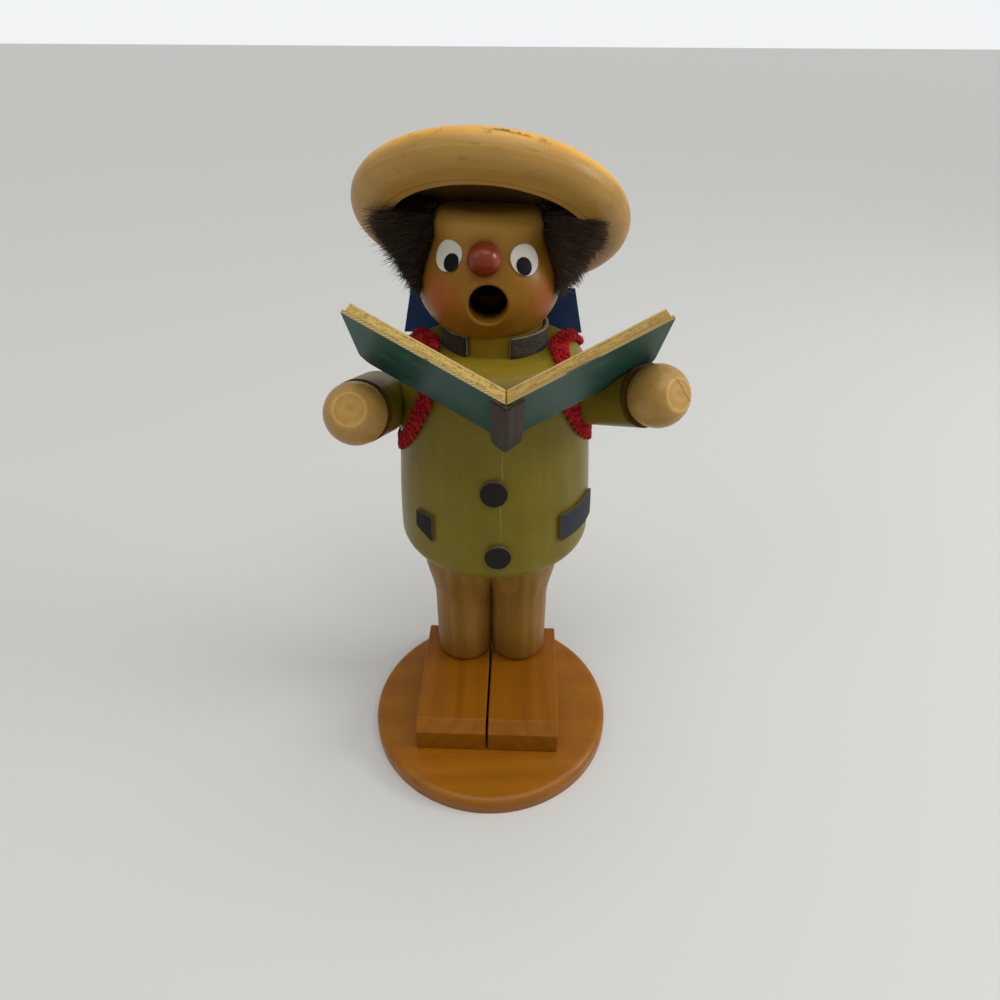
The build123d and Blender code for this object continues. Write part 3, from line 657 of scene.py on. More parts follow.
hat_lacquer()
face_lacquer()
hand_lacquer("left", way=(-0.0259, -0.8237, 0.5664), tip=(-0.0347, -0.0186, 0.1352))
hand_lacquer("right", way=(0.5495, -0.7427, 0.3827), tip=(0.0475, -0.0158, 0.1384),
             checks=(-0.0035, 0.0012, 0.0042))
red_lacquer()
print("lacquers made")

# %% [markdown]
# ## Eyes, lid, leather and metal
# The eyes and the rucksack's lid are flat paint, the buttons and pocket flaps thin dark
# leather, and the collar and the book's spine suede. The dish under the jacket is pressed
# brass.


# %% Paint, leather and metal
def worn_finish(name, sockets, colours, roughness, scale, share, grime_rough, relief, strength):
    """Even colour with grime, which is rougher and stands off a little."""
    finish = Finish(name, sockets)
    grime = finish.group(handling_wear, {"Scale": scale})["Grime"]
    finish.start(finish.times(grime, share), *colours)
    finish.roughen(roughness, grime, grime_rough)
    finish.bump(grime, relief, strength)
    return finish


def flat_paint(name, colour, grime, roughness):
    return worn_finish(name, {"Specular IOR Level": 0.08}, (colour, grime), roughness, scale=300.0,
                       share=0.5, grime_rough=0.1, relief=0.00003, strength=0.4)


def metal(name, colour, stain, roughness):
    return worn_finish(name, {"Metallic": 1.0}, (colour, stain), roughness, scale=200.0,
                       share=1.0, grime_rough=0.3, relief=0.00005, strength=0.5)


def dark_leather(name, dark, light, *names):
    """Thin leather, dark on its face and paler round its cut edge."""
    leather = Finish(name, {"Specular IOR Level": 0.16})
    hide = leather.group(hide_nap, {"Scale": 1400.0})
    leather.start(hide["Nap"], dark, light)
    outward = leather.vectors("NORMALIZE", from_axis(leather))[0]
    cut = leather.step(leather.dot(outward, leather.normal), 0.75, 0.45)
    leather.paint(cut, (0.17, 0.135, 0.085), 0.75)
    leather.roughen(0.5, hide["Nap"], 0.25)
    leather.bump(leather.plus(hide["Creases"], hide["Nap"]), 0.00012, 0.8)
    leather.dress(*names)


def suede(name, dark, light, patch, right_sheen=0.0):
    """Brushed suede with patches where it was pressed. Its right part may be painted paler, a painted sheen
    of the light from the right.
    """
    strip = Finish(name, {"Sheen Weight": 0.12, "Specular IOR Level": 0.1})
    nap = strip.group(hide_nap, {"Scale": 1100.0})["Nap"]
    strip.start(nap, dark, light)
    strip.paint(strip.step(strip.speckle(strip.place, 160.0, 3.0, 0.6), 0.4, 0.65), patch)
    # Painted sheen: the right part of the strip is painted paler, for the light from the right.
    right = strip.step(strip.axes(strip.place)["X"], 0.0, 0.003)
    sheen_share = strip.times(right, strip.plus(nap, 0.2))
    strip.paint(sheen_share, [2.2 * c for c in light], right_sheen)
    strip.roughen(0.7, nap, 0.2)
    strip.bump(nap, 0.00015, 0.9)
    return strip.done()


flat_paint("eye_white", (0.76, 0.72, 0.64), (0.60, 0.54, 0.44), 0.42).dress("left_eye", "right_eye")
flat_paint("eye_black", (0.004, 0.004, 0.006), (0.010, 0.010, 0.013), 0.45).dress(
    "left_pupil", "right_pupil")
flat_paint("blue_paint", (0.030, 0.074, 0.190), (0.028, 0.042, 0.070), 0.4).dress("rucksack_lid")
metal("dish_metal", (0.66, 0.46, 0.18), (0.16, 0.10, 0.05), 0.32).dress("incense_dish")
metal("nail_metal", (0.50, 0.50, 0.52), (0.20, 0.16, 0.13), 0.35).dress("dish_nail")
dark_leather("button_leather", (0.008, 0.006, 0.005), (0.021, 0.016, 0.013), "upper_button", "lower_button")
dark_leather("left_flap_leather", (0.007, 0.006, 0.004), (0.018, 0.016, 0.012), "left_pocket_flap")
# Painted sheen: the right flap is a paler, bluish copy of the left flap's leather, for the cold light on
# it.
dark_leather("right_flap_painted_sheen", (0.018, 0.024, 0.029), (0.042, 0.053, 0.063), "right_pocket_flap")
collar_suede = suede("collar_suede", (0.010, 0.008, 0.006), (0.038, 0.034, 0.029),
                     (0.017, 0.012, 0.007), right_sheen=0.6)
spine_suede = suede("spine_suede", (0.020, 0.013, 0.008), (0.058, 0.043, 0.029), (0.042, 0.022, 0.009))
print("small finishes made")

# %% [markdown]
# ## Book
# Each half is a painted board under a block of pages. The paint stays on the outside
# and is scratched, and it has worn off the board's top edge. The pages' edges are rough
# and golden. Their lines run along the book, so the shader measures the distance from
# the board's outer face, and stretches its pattern away from the spine.

# %% Book finishes
BOOK_SLOPE = math.radians(47.5)
SPINE_UP = Vector((0, -math.cos(BOOK_SLOPE), math.sin(BOOK_SLOPE)))
READER = Vector((0, math.sin(BOOK_SLOPE), math.cos(BOOK_SLOPE)))
BOOK_FOOT = Vector((0.0042, -0.0164, 0.1254))
BOOK_OPEN = {-1: math.radians(30.5), 1: math.radians(29.0)}
CHIP_SPAN = {-1: (0.0200, 0.0225), 1: (0.0150, 0.0250)}   # chipped stretch of each board's edge
SAW_MARKS = 0.0011                                        # spacing of the marks on the bare edge
CHIP_DEPTH = 0.0016
PAGE_GAP = (0.00085, 0.00112)     # dark lines at these depths from the cover's face
PAGE_SPLIT = (0.00255, 0.00278)
PAGE_PALE = (0.00285, 0.0031)     # the innermost sheets are paler
# Painted light: the left half's bare edge and pages are painted brighter than the right's, for how the
# halves catch the light.
BARE_RIDGE_LIT_BY_SIDE = {-1: (0.46, 0.345, 0.135), 1: (0.36, 0.245, 0.080)}
PAGE_LIGHT_LIT_BY_SIDE = {-1: (0.66, 0.455, 0.130), 1: (0.50, 0.325, 0.090)}


def cover_ways(side):
    """Directions of one half of the book: away from the spine, and out of its cover."""
    sideways, opened = Vector((side, 0, 0)), BOOK_OPEN[side]
    away = sideways * math.cos(opened) + READER * math.sin(opened)
    out = sideways * math.sin(opened) - READER * math.cos(opened)
    return away, out


def book_measures(finish, side):
    """Distances of a point on the book: away from the spine, and in from the cover's face."""
    away, out = cover_ways(side)
    spot = finish.offset(finish.place, BOOK_FOOT)
    return finish.dot(spot, away), finish.dot(spot, -out)


def teal_paint(side):
    board = Finish(SIDES[side] + "_teal_paint",
                   {"Coat Weight": 0.03, "Coat Roughness": 0.3, "Specular IOR Level": 0.14})
    away, depth = book_measures(board, side)
    worn = board.group(handling_wear, {"Scale": 110.0, "Scratch Width": 0.012})
    board.start(worn["Grime"], (0.014, 0.059, 0.043), (0.031, 0.093, 0.067))
    board.paint(worn["Scratches"], (0.075, 0.105, 0.090), 0.4)
    slant = board.plus(away, board.times(depth, 1.5))
    stripes = board.maths("SINE", board.times(slant, 2 * math.pi / SAW_MARKS))
    raw = board.mix(board.step(stripes, -0.8, 0.8), (0.30, 0.195, 0.060), BARE_RIDGE_LIT_BY_SIDE[side])
    ragged = board.times(board.speckle(board.place, 420.0, 3.0, 0.6), CHIP_DEPTH)
    chip = board.times(board.band(away, *CHIP_SPAN[side], 0.0012), board.step(depth, ragged, 0.0))
    raw = board.mix(board.times(chip, 0.9), raw, (0.045, 0.040, 0.030))
    board.paint(board.step(board.dot(board.normal, SPINE_UP), 0.6, 0.8), raw)
    board.roughen(0.42, worn["Grime"], 0.15)
    board.bump(worn["Scratches"], -0.00004, 0.6)
    board.dress(SIDES[side] + "_book_cover")


def page_edges(side):
    pages = Finish(SIDES[side] + "_page_edges", {"Specular IOR Level": 0.15})
    away, depth = book_measures(pages, side)
    long_place = pages.point(X=pages.times(away, 0.12), Y=depth)
    sheets = pages.speckle(long_place, 2600.0, 3.0, 0.65)
    specks = pages.speckle(pages.place, 1300.0, 3.0, 0.7)
    share = pages.plus(pages.times(sheets, 0.55), pages.times(specks, 0.45))
    pages.start(pages.step(share, 0.30, 0.60), (0.22, 0.120, 0.022), PAGE_LIGHT_LIT_BY_SIDE[side])
    wave = pages.times(pages.speckle(long_place, 500.0, 2.0, 0.5), 0.0004)
    line = pages.plus(depth, pages.minus(wave, 0.0002))
    gap = pages.times(pages.band(line, *PAGE_GAP, 0.0001), 0.6)
    split = pages.times(pages.band(line, *PAGE_SPLIT, 0.0001), 0.35)
    dark = pages.maths("MAXIMUM", gap, split)
    pages.paint(dark, (0.055, 0.028, 0.008))
    pages.paint(pages.step(line, *PAGE_PALE), (0.56, 0.42, 0.20), 0.5)
    pages.roughen(0.6, specks, 0.25)
    pages.bump(pages.minus(share, dark), 0.00018, 0.8)
    pages.dress(SIDES[side] + "_pages")


for book_side in SIDES:
    teal_paint(book_side)
    page_edges(book_side)
print("book finished")

# %% [markdown]
# ## Helpers for the soft pieces
# Collar, book spine, straps and hair are cloth, hide and fur. Each is modelled as its own
# object in its real place, rides on the figure's body and replaces the plain CAD solid.
# A tree of a CAD piece's faces answers where its surface is, so that they can lie on it.


# %% Soft piece helpers
def surface_of(name):
    """Search tree of a CAD node's surface."""
    mesh = nodes[name].data
    corners = [vertex.co.copy() for vertex in mesh.vertices]
    return BVHTree.FromPolygons(corners, [tuple(face.vertices) for face in mesh.polygons])


def new_piece(name, data, materials, slot, *stands_for):
    """Object for a soft piece on the figure."""
    piece = bpy.data.objects.new(name, data)
    scene.collection.objects.link(piece)
    for material in materials:
        data.materials.append(material)
    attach(piece, "figure")
    if stands_for:
        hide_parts(*stands_for)
    return piece


def mesh_piece(name, shape, materials, slot, *stands_for):
    """Object from a bmesh, shaded smooth."""
    data = bpy.data.meshes.new(name)
    for face in shape.faces:
        face.smooth = True
    shape.to_mesh(data)
    shape.free()
    return new_piece(name, data, materials, slot, *stands_for)


def thread_piece(name, threads, radius, sides, material, slot, *stands_for):
    """Object of many threads. A thread is a list of points with a thickness share each."""
    data = bpy.data.curves.new(name, "CURVE")
    data.dimensions = "3D"
    data.bevel_depth = radius
    data.bevel_resolution = sides
    data.resolution_u = 1
    data.use_fill_caps = False
    for thread in threads:
        spline = data.splines.new("POLY")
        spline.points.add(len(thread) - 1)
        for point, (place, share) in zip(spline.points, thread):
            point.co = (*place, 1)
            point.radius = share
        spline.use_smooth = True
    return new_piece(name, data, [material], slot, *stands_for)


def face_outwards(shape):
    bmesh.ops.recalc_face_normals(shape, faces=shape.faces)
    shape.normal_update()


def thicken(shape, thickness, inside):
    """Turn a sheet's faces away from a point on its inner side, and thicken it."""
    face_outwards(shape)
    if sum(face.normal.dot(face.calc_center_median() - inside) for face in shape.faces) < 0:
        bmesh.ops.reverse_faces(shape, faces=shape.faces)
    bmesh.ops.solidify(shape, geom=shape.faces[:], thickness=-thickness)
    face_outwards(shape)


jacket_surface = surface_of("jacket")
head_surface = surface_of("head")
print("surfaces ready")

# %% [markdown]
# ## Collar
# A strip of suede is glued round the neck and left open at the front. It could be cut
# from a cylinder, but a spun line that is then given a thickness is how a strip behaves:
# its line of points can wave a little before it gets thick. Cut edges are paler.

# %% Collar
COLLAR_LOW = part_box("collar")[0].z
COLLAR_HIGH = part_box("collar")[1].z
COLLAR_RADIUS = 0.0138
COLLAR_OPENING = 0.0110
COLLAR_OPENING_SIDE = -0.0015
COLLAR_THICKNESS = 0.0012
COLLAR_ROWS = 7
COLLAR_STEPS = 110
COLLAR_WAVES, COLLAR_WAVE = 260, 0.00018      # per metre, and how far
COLLAR_FRAYS, COLLAR_FRAY = 700, 0.00022
COLLAR_CURL = 0.00025       # both edges stand off the neck by this much


def pale_cut():
    """Cut edge of suede."""
    cut = Finish("suede_cut_edge", {"Specular IOR Level": 0.2})
    fibres = cut.speckle(cut.place, 1500.0, 3.0, 0.7)
    cut.start(fibres, (0.10, 0.076, 0.050), (0.40, 0.330, 0.235))
    cut.roughen(0.7, fibres, 0.2)
    cut.bump(fibres, 0.0002, 0.7)
    return cut.done()


def collar():
    left, right = (math.asin((COLLAR_OPENING_SIDE + side * COLLAR_OPENING / 2) / COLLAR_RADIUS)
                   for side in SIDES)
    height = COLLAR_HIGH - COLLAR_LOW
    start = AXIS + COLLAR_RADIUS * Vector((math.sin(right), -math.cos(right), 0))
    shape = bmesh.new()
    line = [shape.verts.new((start.x, start.y, COLLAR_LOW + height * row / (COLLAR_ROWS - 1)))
            for row in range(COLLAR_ROWS)]
    edges = [shape.edges.new(pair) for pair in zip(line, line[1:])]
    bmesh.ops.spin(shape, geom=line + edges, cent=AXIS, axis=(0, 0, 1), steps=COLLAR_STEPS,
                   angle=2 * math.pi + left - right, use_duplicate=False)
    for vertex in shape.verts:
        outward = (vertex.co - AXIS) * LEVEL
        wave = noise.noise(vertex.co * COLLAR_WAVES) * COLLAR_WAVE
        frayed = noise.noise(vertex.co * COLLAR_FRAYS) * COLLAR_FRAY
        edge = abs((vertex.co.z - COLLAR_LOW) / height - 0.5) * 2
        vertex.co += outward.normalized() * (wave + COLLAR_CURL * edge ** 2)
        vertex.co.z += frayed * edge ** 4
    thicken(shape, COLLAR_THICKNESS, AXIS)
    for face in shape.faces:
        outward = ((face.calc_center_median() - AXIS) * LEVEL).normalized()
        face.material_index = 0 if abs(face.normal.dot(outward)) > 0.5 else 1
    return mesh_piece("collar_strip", shape, [collar_suede, pale_cut()], "suede", "collar")


collar_strip = collar()
print("collar", len(collar_strip.data.polygons), "faces")

# %% [markdown]
# ## Book spine
# A strip of suede is folded over the spine, and its tail runs on to the chest with round
# corners. A flat grid is easy to round and to fold: its columns lie against the two covers,
# a soft radius joins them, and a thickness comes last.

# %% Book spine
BOARD_HEIGHT = 0.0252
SPINE_PAST_TOP = 0.0002
SPINE_HALF = 0.0040
SPINE_TAIL = 0.0052
SPINE_TAIL_CORNER = 0.0030
SPINE_TAIL_END = 0.45       # width share of the tail's straight end
SPINE_THICKNESS = 0.0009
SPINE_FOLD = 0.0012
SPINE_LIFT = 0.00025        # off the covers
SPINE_FOLD_LIFT = 0.0002    # more at the fold
SPINE_SIDE = 0.0003
SPINE_WAVES, SPINE_WAVE = 300, 0.05     # per metre along its edge, and share of the width


def spine_point(across, along):
    """Place on the strip: across the fold, and along the spine from the book's foot."""
    away, out = cover_ways(1 if across > 0 else -1)
    middle = BOOK_FOOT + SPINE_UP * along
    straight = middle + away * abs(across) + out * SPINE_LIFT
    fold = middle + Vector((across, 0, 0)) - READER * (SPINE_LIFT + SPINE_FOLD_LIFT)
    return fold.lerp(straight, min(1.0, abs(across) / SPINE_FOLD))


def book_spine():
    shape = bmesh.new()
    bmesh.ops.create_grid(shape, x_segments=16, y_segments=44, size=0.5)
    for vertex in shape.verts:
        along = -SPINE_TAIL + (BOARD_HEIGHT + SPINE_PAST_TOP + SPINE_TAIL) * (vertex.co.y + 0.5)
        depth = along + SPINE_TAIL
        narrow = 1.0
        if depth < SPINE_TAIL_CORNER:
            curve = math.sqrt(max(0.0, 1 - (1 - depth / SPINE_TAIL_CORNER) ** 2))
            narrow = SPINE_TAIL_END + (1 - SPINE_TAIL_END) * curve
        wave = noise.noise(Vector((0, along * SPINE_WAVES, 3)))
        half = SPINE_HALF * (1 + SPINE_WAVE * wave) * narrow
        vertex.co = spine_point(2 * half * vertex.co.x + SPINE_SIDE, along)
    thicken(shape, SPINE_THICKNESS, BOOK_FOOT + READER)
    return mesh_piece("book_spine_strip", shape, [spine_suede], "suede", "book_spine")


book_spine_strip = book_spine()
print("book spine", [round(c, 4) for c in book_spine_strip.dimensions])

# %% [markdown]
# ## Braided straps
# The rucksack hangs on two flat plaits of red wool. A smooth curve over the shoulder and
# under the arm is the plait's middle. Three strands weave about it: each swings from side
# to side, and dips and rises twice as often, a third of a turn after the one before. Each
# strand is four thin yarns twisted together, and loose fibres stand off them. The arm
# presses the lower run flat.

# %% Strap route
CHEST = Vector((AXIS.x, AXIS.y, 0.118))
SMOOTHINGS = 6
OUTSIDE = 0.08      # from the chest's middle to a point that is surely outside the jacket
# Angle from straight ahead and elevation, both seen from the chest's middle
STRAP_BEHIND = ((156, 20), (147, 21.7), (137, 24.7), (127, 28.4), (117, 32.7), (108, 37.5), (100, 43),
                (91, 47.5))
STRAP_ROUTES = {
    -1: STRAP_BEHIND + (
        (78, 49.3), (63, 47), (52, 43), (44, 37), (40, 29), (41, 22.5), (45, 16), (51, 7), (57, -1),
        (64, -7.5), (71, -12.5), (80, -16.5), (92, -18.5), (108, -20), (126, -20.5), (143, -20.5)),
    1: STRAP_BEHIND + (
        (78, 49.5), (66, 48), (54, 43.5), (47, 37), (43, 29), (44, 23.5), (48, 17), (53, 10), (58, 4),
        (64, -0.5), (70, -4.8), (79, -9.5), (91, -14), (106, -17.5), (126, -19.5), (143, -20.5)),
}


def on_jacket(angle, elevation):
    """Point of the jacket's surface seen from the chest's middle."""
    turn, rise = math.radians(angle), math.radians(elevation)
    way = Vector((math.sin(turn) * math.cos(rise), -math.cos(turn) * math.cos(rise), math.sin(rise)))
    return jacket_surface.ray_cast(CHEST + way * OUTSIDE, -way)[0]


def strap_line(side):
    """Smooth line of points along a strap, the jacket's outward direction and the way gone at each."""
    data = bpy.data.curves.new("strap_route", "CURVE")
    data.dimensions = "3D"
    data.resolution_u = 24
    spline = data.splines.new("NURBS")
    spline.points.add(len(STRAP_ROUTES[side]) - 1)
    for point, (angle, elevation) in zip(spline.points, STRAP_ROUTES[side]):
        point.co = (*on_jacket(side * angle, elevation), 1)
    spline.order_u = 3
    spline.use_endpoint_u = True
    holder = bpy.data.objects.new("strap_route", data)
    line = bpy.data.meshes.new_from_object(holder)
    corners = [vertex.co.copy() for vertex in line.vertices]
    bpy.data.objects.remove(holder)
    bpy.data.meshes.remove(line)
    points, ways, travelled = [], [], []
    length = 0.0
    for corner in corners:
        near, normal, _, _ = jacket_surface.find_nearest(corner)
        if points:
            length += (near - points[-1]).length
        points.append(near)
        ways.append(normal if normal.dot(near - CHEST) > 0 else -normal)
        travelled.append(length)
    return points, smooth_ways(ways), travelled


def smooth_ways(ways):
    """Average the outward directions, so that the braid doesn't jump from facet to facet."""
    for _ in range(SMOOTHINGS):
        ends = [ways[0]] + ways + [ways[-1]]
        ways = [(a + 2 * b + c).normalized() for a, b, c in zip(ends, ends[1:], ends[2:])]
    return ways


print("route points", [len(route) for route in STRAP_ROUTES.values()])

# %% Braids
PLAIT_SWING = 0.00175
PLAIT_LIFT = 0.00036
PLAIT_FLATNESS = 0.55
PLAIT_TURN = 0.0085
STRANDS = 3
STRAND_RADIUS = 0.00068
STRAND_YARNS = 4
YARN_RADIUS = 0.00046
YARN_TWIST = 0.0052
PRESSED_RUN = (0.52, 0.66)      # share of the length over which the plait gets flatter
PRESSED_BY = 0.6
FUZZ_CHANCE = 0.6
FUZZ_LENGTH = (0.0005, 0.0015)
FUZZ_BEND = 0.0003
FUZZ_RADIUS = 0.00007


def braid_wool():
    wool = Finish("braid_wool", {"Sheen Weight": 0.1, "Sheen Tint": (0.9, 0.1, 0.1, 1),
                                 "Specular IOR Level": 0.12})
    fibres = wool.speckle(wool.place, 1600.0, 3.0, 0.7)
    clouds = wool.speckle(wool.place, 260.0, 2.0, 0.5)
    wool.start(wool.step(fibres, 0.3, 0.7), (0.15, 0.003, 0.006), (0.54, 0.014, 0.022))
    wool.paint(wool.step(clouds, 0.45, 0.75), (0.70, 0.045, 0.050), 0.5)
    wool.roughen(0.7, fibres, 0.25)
    wool.bump(fibres, 0.0002, 0.8)
    return wool.done()


def pressed(share):
    """Thickness share along the plait, which the arm presses flat on its lower run."""
    low, high = PRESSED_RUN
    run = min(1.0, max(0.0, (share - low) / (high - low)))
    return 1.0 - PRESSED_BY * run * run * (3 - 2 * run)


def braid(side, name):
    points, ways, travelled = strap_line(side)
    chance = random.Random(40 + side)
    last = len(points) - 1
    strand_height = PLAIT_FLATNESS * STRAND_RADIUS
    lift = PLAIT_LIFT + strand_height + YARN_RADIUS * 0.7
    yarns, fuzz = [], []
    for strand in range(STRANDS):
        for yarn in range(STRAND_YARNS):
            thread = []
            for index, (place, outward, gone) in enumerate(zip(points, ways, travelled)):
                tangent = (points[min(index + 1, last)] - points[max(index - 1, 0)]).normalized()
                sideways = tangent.cross(outward).normalized()
                beat = 2 * math.pi * (gone / PLAIT_TURN + strand / STRANDS)
                twist = 2 * math.pi * (gone / YARN_TWIST + yarn / STRAND_YARNS)
                ease = 0.75 + 0.25 * noise.noise(Vector((gone * 160, strand * 7.0, side * 3.0)))
                across = PLAIT_SWING * math.sin(beat) + STRAND_RADIUS * math.cos(twist)
                height = PLAIT_LIFT * math.sin(2 * beat) + strand_height * math.sin(twist) * ease
                flat = pressed(gone / travelled[-1])
                spot = place + sideways * across + outward * (height + lift) * flat
                thread.append((spot, (0.9 + 0.25 * noise.noise(spot * 900)) * (0.5 + 0.5 * flat)))
                if chance.random() < FUZZ_CHANCE:
                    loose = sideways * chance.uniform(-1, 1) + tangent * chance.uniform(-1, 1)
                    loose += outward * chance.uniform(0.0, 0.9)
                    tip = spot + loose.normalized() * chance.uniform(*FUZZ_LENGTH) * flat
                    bend = spot.lerp(tip, 0.5) + outward * chance.uniform(0.0, FUZZ_BEND)
                    fuzz.append([(spot, 1.0), (bend, 0.8), (tip, 0.35)])
            yarns.append(thread)
    thread_piece(name + "_braid", yarns, YARN_RADIUS, 1, braid_finish, "red_braid", name + "_strap")
    thread_piece(name + "_braid_fuzz", fuzz, FUZZ_RADIUS, 0, braid_finish, "red_braid")
    print(name, "braid", len(yarns), "yarns,", len(fuzz), "loose fibres, length", round(travelled[-1], 3))


braid_finish = braid_wool()
for strap_side, strap_name in SIDES.items():
    braid(strap_side, strap_name)

# %% [markdown]
# ## Fur hair
# A strip of real fur runs round the sides and back of the head, under the hat. A dark
# underlayer, a slightly shrunken copy of the CAD solid, stops light between the hairs.
# Long hairs grow from the head's side and stand outwards, so from ahead they show their
# length, and they bend where they meet the brim. Short hairs cover the underlayer from
# there to the back. Left and right are a piece each, and a few pale hairs stand out.

# %% Fur underlayer
UNDERLAYER_IN = 0.0016


def fur_brown():
    """Brown in tufts, painted darker on the left and paler on the right: painted shade and light, as the
    light comes from the right.
    """
    fur = Finish("fur_brown", {"Specular IOR Level": 0.3})
    tufts = fur.speckle(fur.place, 420.0, 3.0, 0.6)
    single = fur.speckle(fur.place, 2400.0, 1.0, 0.5)
    fur.start(fur.step(tufts, 0.35, 0.7), (0.013, 0.0075, 0.003), (0.070, 0.042, 0.019))
    fur.paint(fur.step(single, 0.5, 0.75), (0.150, 0.095, 0.048), 0.6)
    # Painted shade and light: darker on the left, paler on the right, where the light comes from.
    shaded_left = fur.mix(0.4, fur.colour, (0.006, 0.004, 0.0025))
    lit_right = fur.mix(0.4, fur.colour, (0.110, 0.074, 0.042))
    fur.start(fur.step(fur.axes(fur.place)["X"], -0.02, 0.03), shaded_left, lit_right)
    fur.roughen(0.4, tufts, 0.2)
    return fur.done()


def fur_underlayer():
    shape = bmesh.new()
    shape.from_mesh(nodes["fur_hair"].data)
    bmesh.ops.remove_doubles(shape, verts=shape.verts, dist=1e-6)
    face_outwards(shape)
    for vertex in shape.verts:
        vertex.co -= vertex.normal * UNDERLAYER_IN
    return mesh_piece("fur_underlayer", shape, [fur_finish], "brown_fur", "fur_hair")


fur_finish = fur_brown()
fur_under = fur_underlayer()
print("fur underlayer", len(fur_under.data.polygons), "faces")

# %% Fur hairs
HEAD_MIDDLE = Vector((-0.0004, 0.0175, 0))
HEAD_OUTSIDE = 0.05
HAIR_GAP = 0.0003                               # from a hair's middle to the hat
HAT_HOLLOW, HAT_HOLLOW_DEPTH = 0.0250, 0.0050   # radius and depth that hairs may use
HAIR_COUNT = 5500
HAIR_RADIUS = 0.0001
HAIR_LOW, HAIR_HIGH = 0.1569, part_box("head")[1].z - 0.0016
HAIR_LOW_REACH, HAIR_HIGH_REACH = 0.0200, 0.0310
HAIR_TURN, HAIR_SPREAD = 66, 114                # degrees from straight ahead, and from there back
HAIR_CROWDED = 2.2                              # more hairs near the front
HAIR_UNEVEN = (0, 0.0011)                       # middle and spread of a random length
HAIR_TIP = ((-0.0004, 0.0012), (-0.0008, 0.0014))
HAIR_BOW = ((-0.0003, 0.0007), (0.0006, 0.0007))
HAIR_BEGIN = 0.6                                # hairs start up to this share of the way to the tip
GUARD_BEGIN = 0.3
HAIR_TAPER = (1.0, 0.95, 0.8, 0.55, 0.15)
BEHIND_FROM = math.radians(82)
SHORT_COUNT = 5500
SHORT_RADIUS = 0.00011
SHORT_LENGTH = (0.0028, 0.0052)
SHORT_ROOT = 0.0005                             # below the underlayer's surface
SHORT_WILD = ((0, 0.3), (0, 0.3), (-0.35, 0.3))
SHORT_TAPER = (1.0, 0.9, 0.6, 0.15)
UNDERSIDE = -0.3                                # faces that look down more steeply than this
SHORT_DROOP = Vector((0, 0, 0.3))


def below_brim(place):
    """Move a point that is too near the hat down from it. The hat's hollow gives more height."""
    across = (place - HAT_POINT).cross(HAT_UP).length
    ceiling = HAT_HOLLOW_DEPTH if across < HAT_HOLLOW else 0.0
    excess = (place - HAT_POINT).dot(HAT_UP) + HAIR_GAP - ceiling
    return place - HAT_UP * excess if excess > 0 else place


def hair_strand(side, longer, chance):
    """One hair: five points from the head's side outwards, curved and a little wild."""
    share = chance.random()
    level = HAIR_LOW + (HAIR_HIGH - HAIR_LOW) * share
    turn = math.radians(HAIR_TURN + HAIR_SPREAD * chance.random() ** HAIR_CROWDED) * side
    way = Vector((math.sin(turn), -math.cos(turn), 0))
    start = Vector((HEAD_MIDDLE.x, HEAD_MIDDLE.y, level))
    root = head_surface.ray_cast(start + way * HEAD_OUTSIDE, -way)[0]
    reach = HAIR_LOW_REACH + (HAIR_HIGH_REACH - HAIR_LOW_REACH) * share
    reach = reach + chance.gauss(*HAIR_UNEVEN) + longer
    tip = start + way * reach + Vector((0, *(chance.gauss(*pair) for pair in HAIR_TIP)))
    bow = Vector((0, *(chance.gauss(*pair) for pair in HAIR_BOW)))
    begin = chance.random() * HAIR_BEGIN if longer == 0 else GUARD_BEGIN
    hair = []
    for part, thickness in enumerate(HAIR_TAPER):
        along = begin + (1 - begin) * part / (len(HAIR_TAPER) - 1)
        spot = root.lerp(tip, along) + bow * math.sin(math.pi * along)
        hair.append((below_brim(spot), thickness))
    return hair


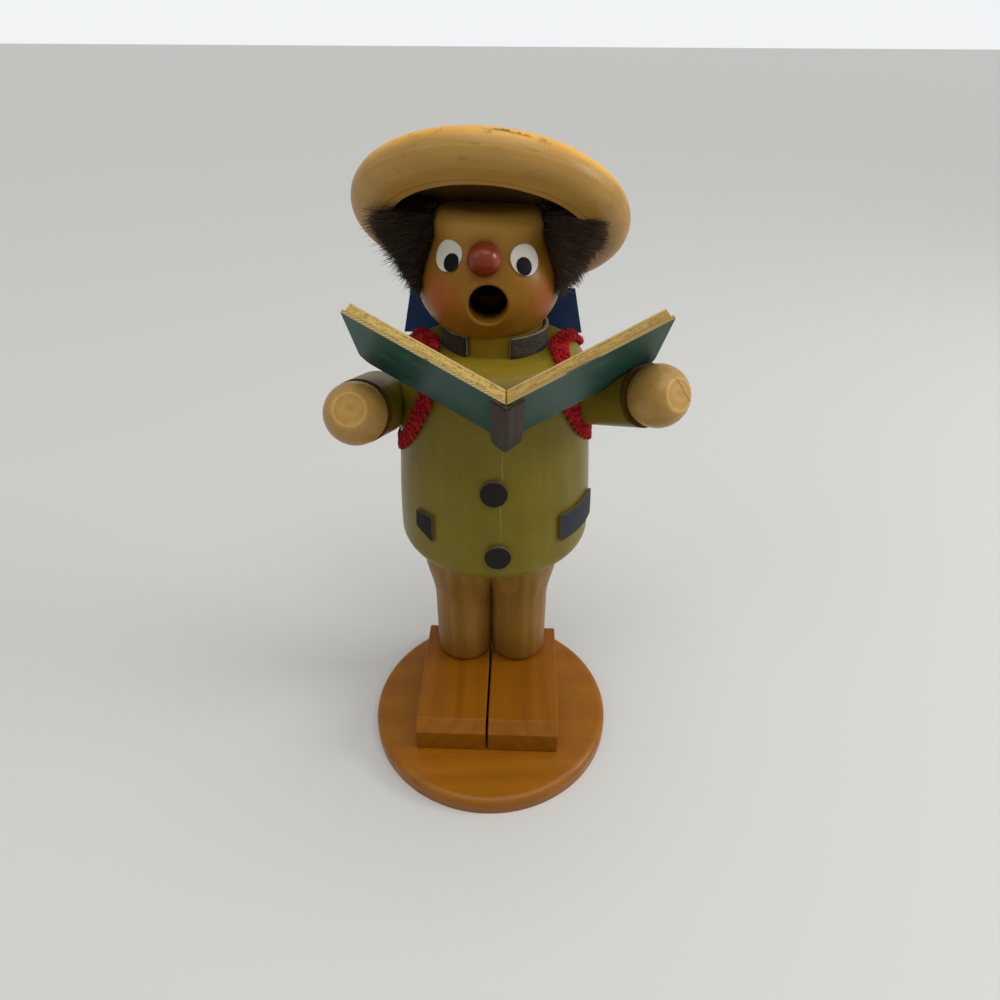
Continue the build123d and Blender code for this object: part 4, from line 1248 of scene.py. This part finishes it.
def short_hairs(side, chance):
    """Short hairs on the underlayer's outside, from beside the head to behind it."""
    mesh = fur_under.data
    mesh.calc_loop_triangles()
    grown = []
    for face in mesh.loop_triangles:
        outward = (face.center - HEAD_MIDDLE) * LEVEL
        behind = outward.x * side > 0 and -outward.y < outward.length * math.cos(BEHIND_FROM)
        if behind and (face.normal.dot(outward) > 0 or face.normal.z < UNDERSIDE):
            grown.append(face)
    hairs = []
    for face in chance.choices(grown, [face.area for face in grown], k=SHORT_COUNT):
        a, b, c = (mesh.vertices[index].co for index in face.vertices)
        first, second = sorted((chance.random(), chance.random()))
        spot = a * first + b * (second - first) + c * (1 - second)
        wild = Vector([chance.gauss(*pair) for pair in SHORT_WILD])
        way = (face.normal + wild).normalized()
        pace = chance.uniform(*SHORT_LENGTH) / (len(SHORT_TAPER) - 1)
        spot = spot - face.normal * SHORT_ROOT
        hair = []
        for thickness in SHORT_TAPER:
            hair.append((below_brim(spot), thickness))
            spot = spot + way * pace
            way = (way - SHORT_DROOP).normalized()
        hairs.append(hair)
    return hairs


coat_chance = random.Random(7)
for fur_side, fur_name in SIDES.items():
    coat = [hair_strand(fur_side, 0, coat_chance) for _ in range(HAIR_COUNT)]
    thread_piece(fur_name + "_fur_coat", coat, HAIR_RADIUS, 0, fur_finish, "brown_fur")
back_chance = random.Random(11)
for fur_side, fur_name in SIDES.items():
    coat = short_hairs(fur_side, back_chance)
    thread_piece(fur_name + "_fur_back", coat, SHORT_RADIUS, 0, fur_finish, "brown_fur")
print("hairs on each side", HAIR_COUNT, "long and", SHORT_COUNT, "short")

# %% Guard hairs
GUARD_COUNT = 300
GUARD_RADIUS = 0.00005
GUARD_LONGER = (0.0005, 0.0035)


def guard_brown():
    guard = Finish("fur_guard", {"Specular IOR Level": 0.5})
    shade = guard.speckle(guard.place, 500.0, 2.0, 0.5)
    guard.start(shade, (0.03, 0.022, 0.016), (0.30, 0.25, 0.19))
    guard.roughen(0.3, shade, 0.3)
    return guard.done()


stray = [hair_strand(coat_chance.choice((-1, 1)), coat_chance.uniform(*GUARD_LONGER), coat_chance)
         for _ in range(GUARD_COUNT)]
thread_piece("fur_guard_hairs", stray, GUARD_RADIUS, 0, guard_brown(), "brown_fur")
print("guard hairs", len(stray))
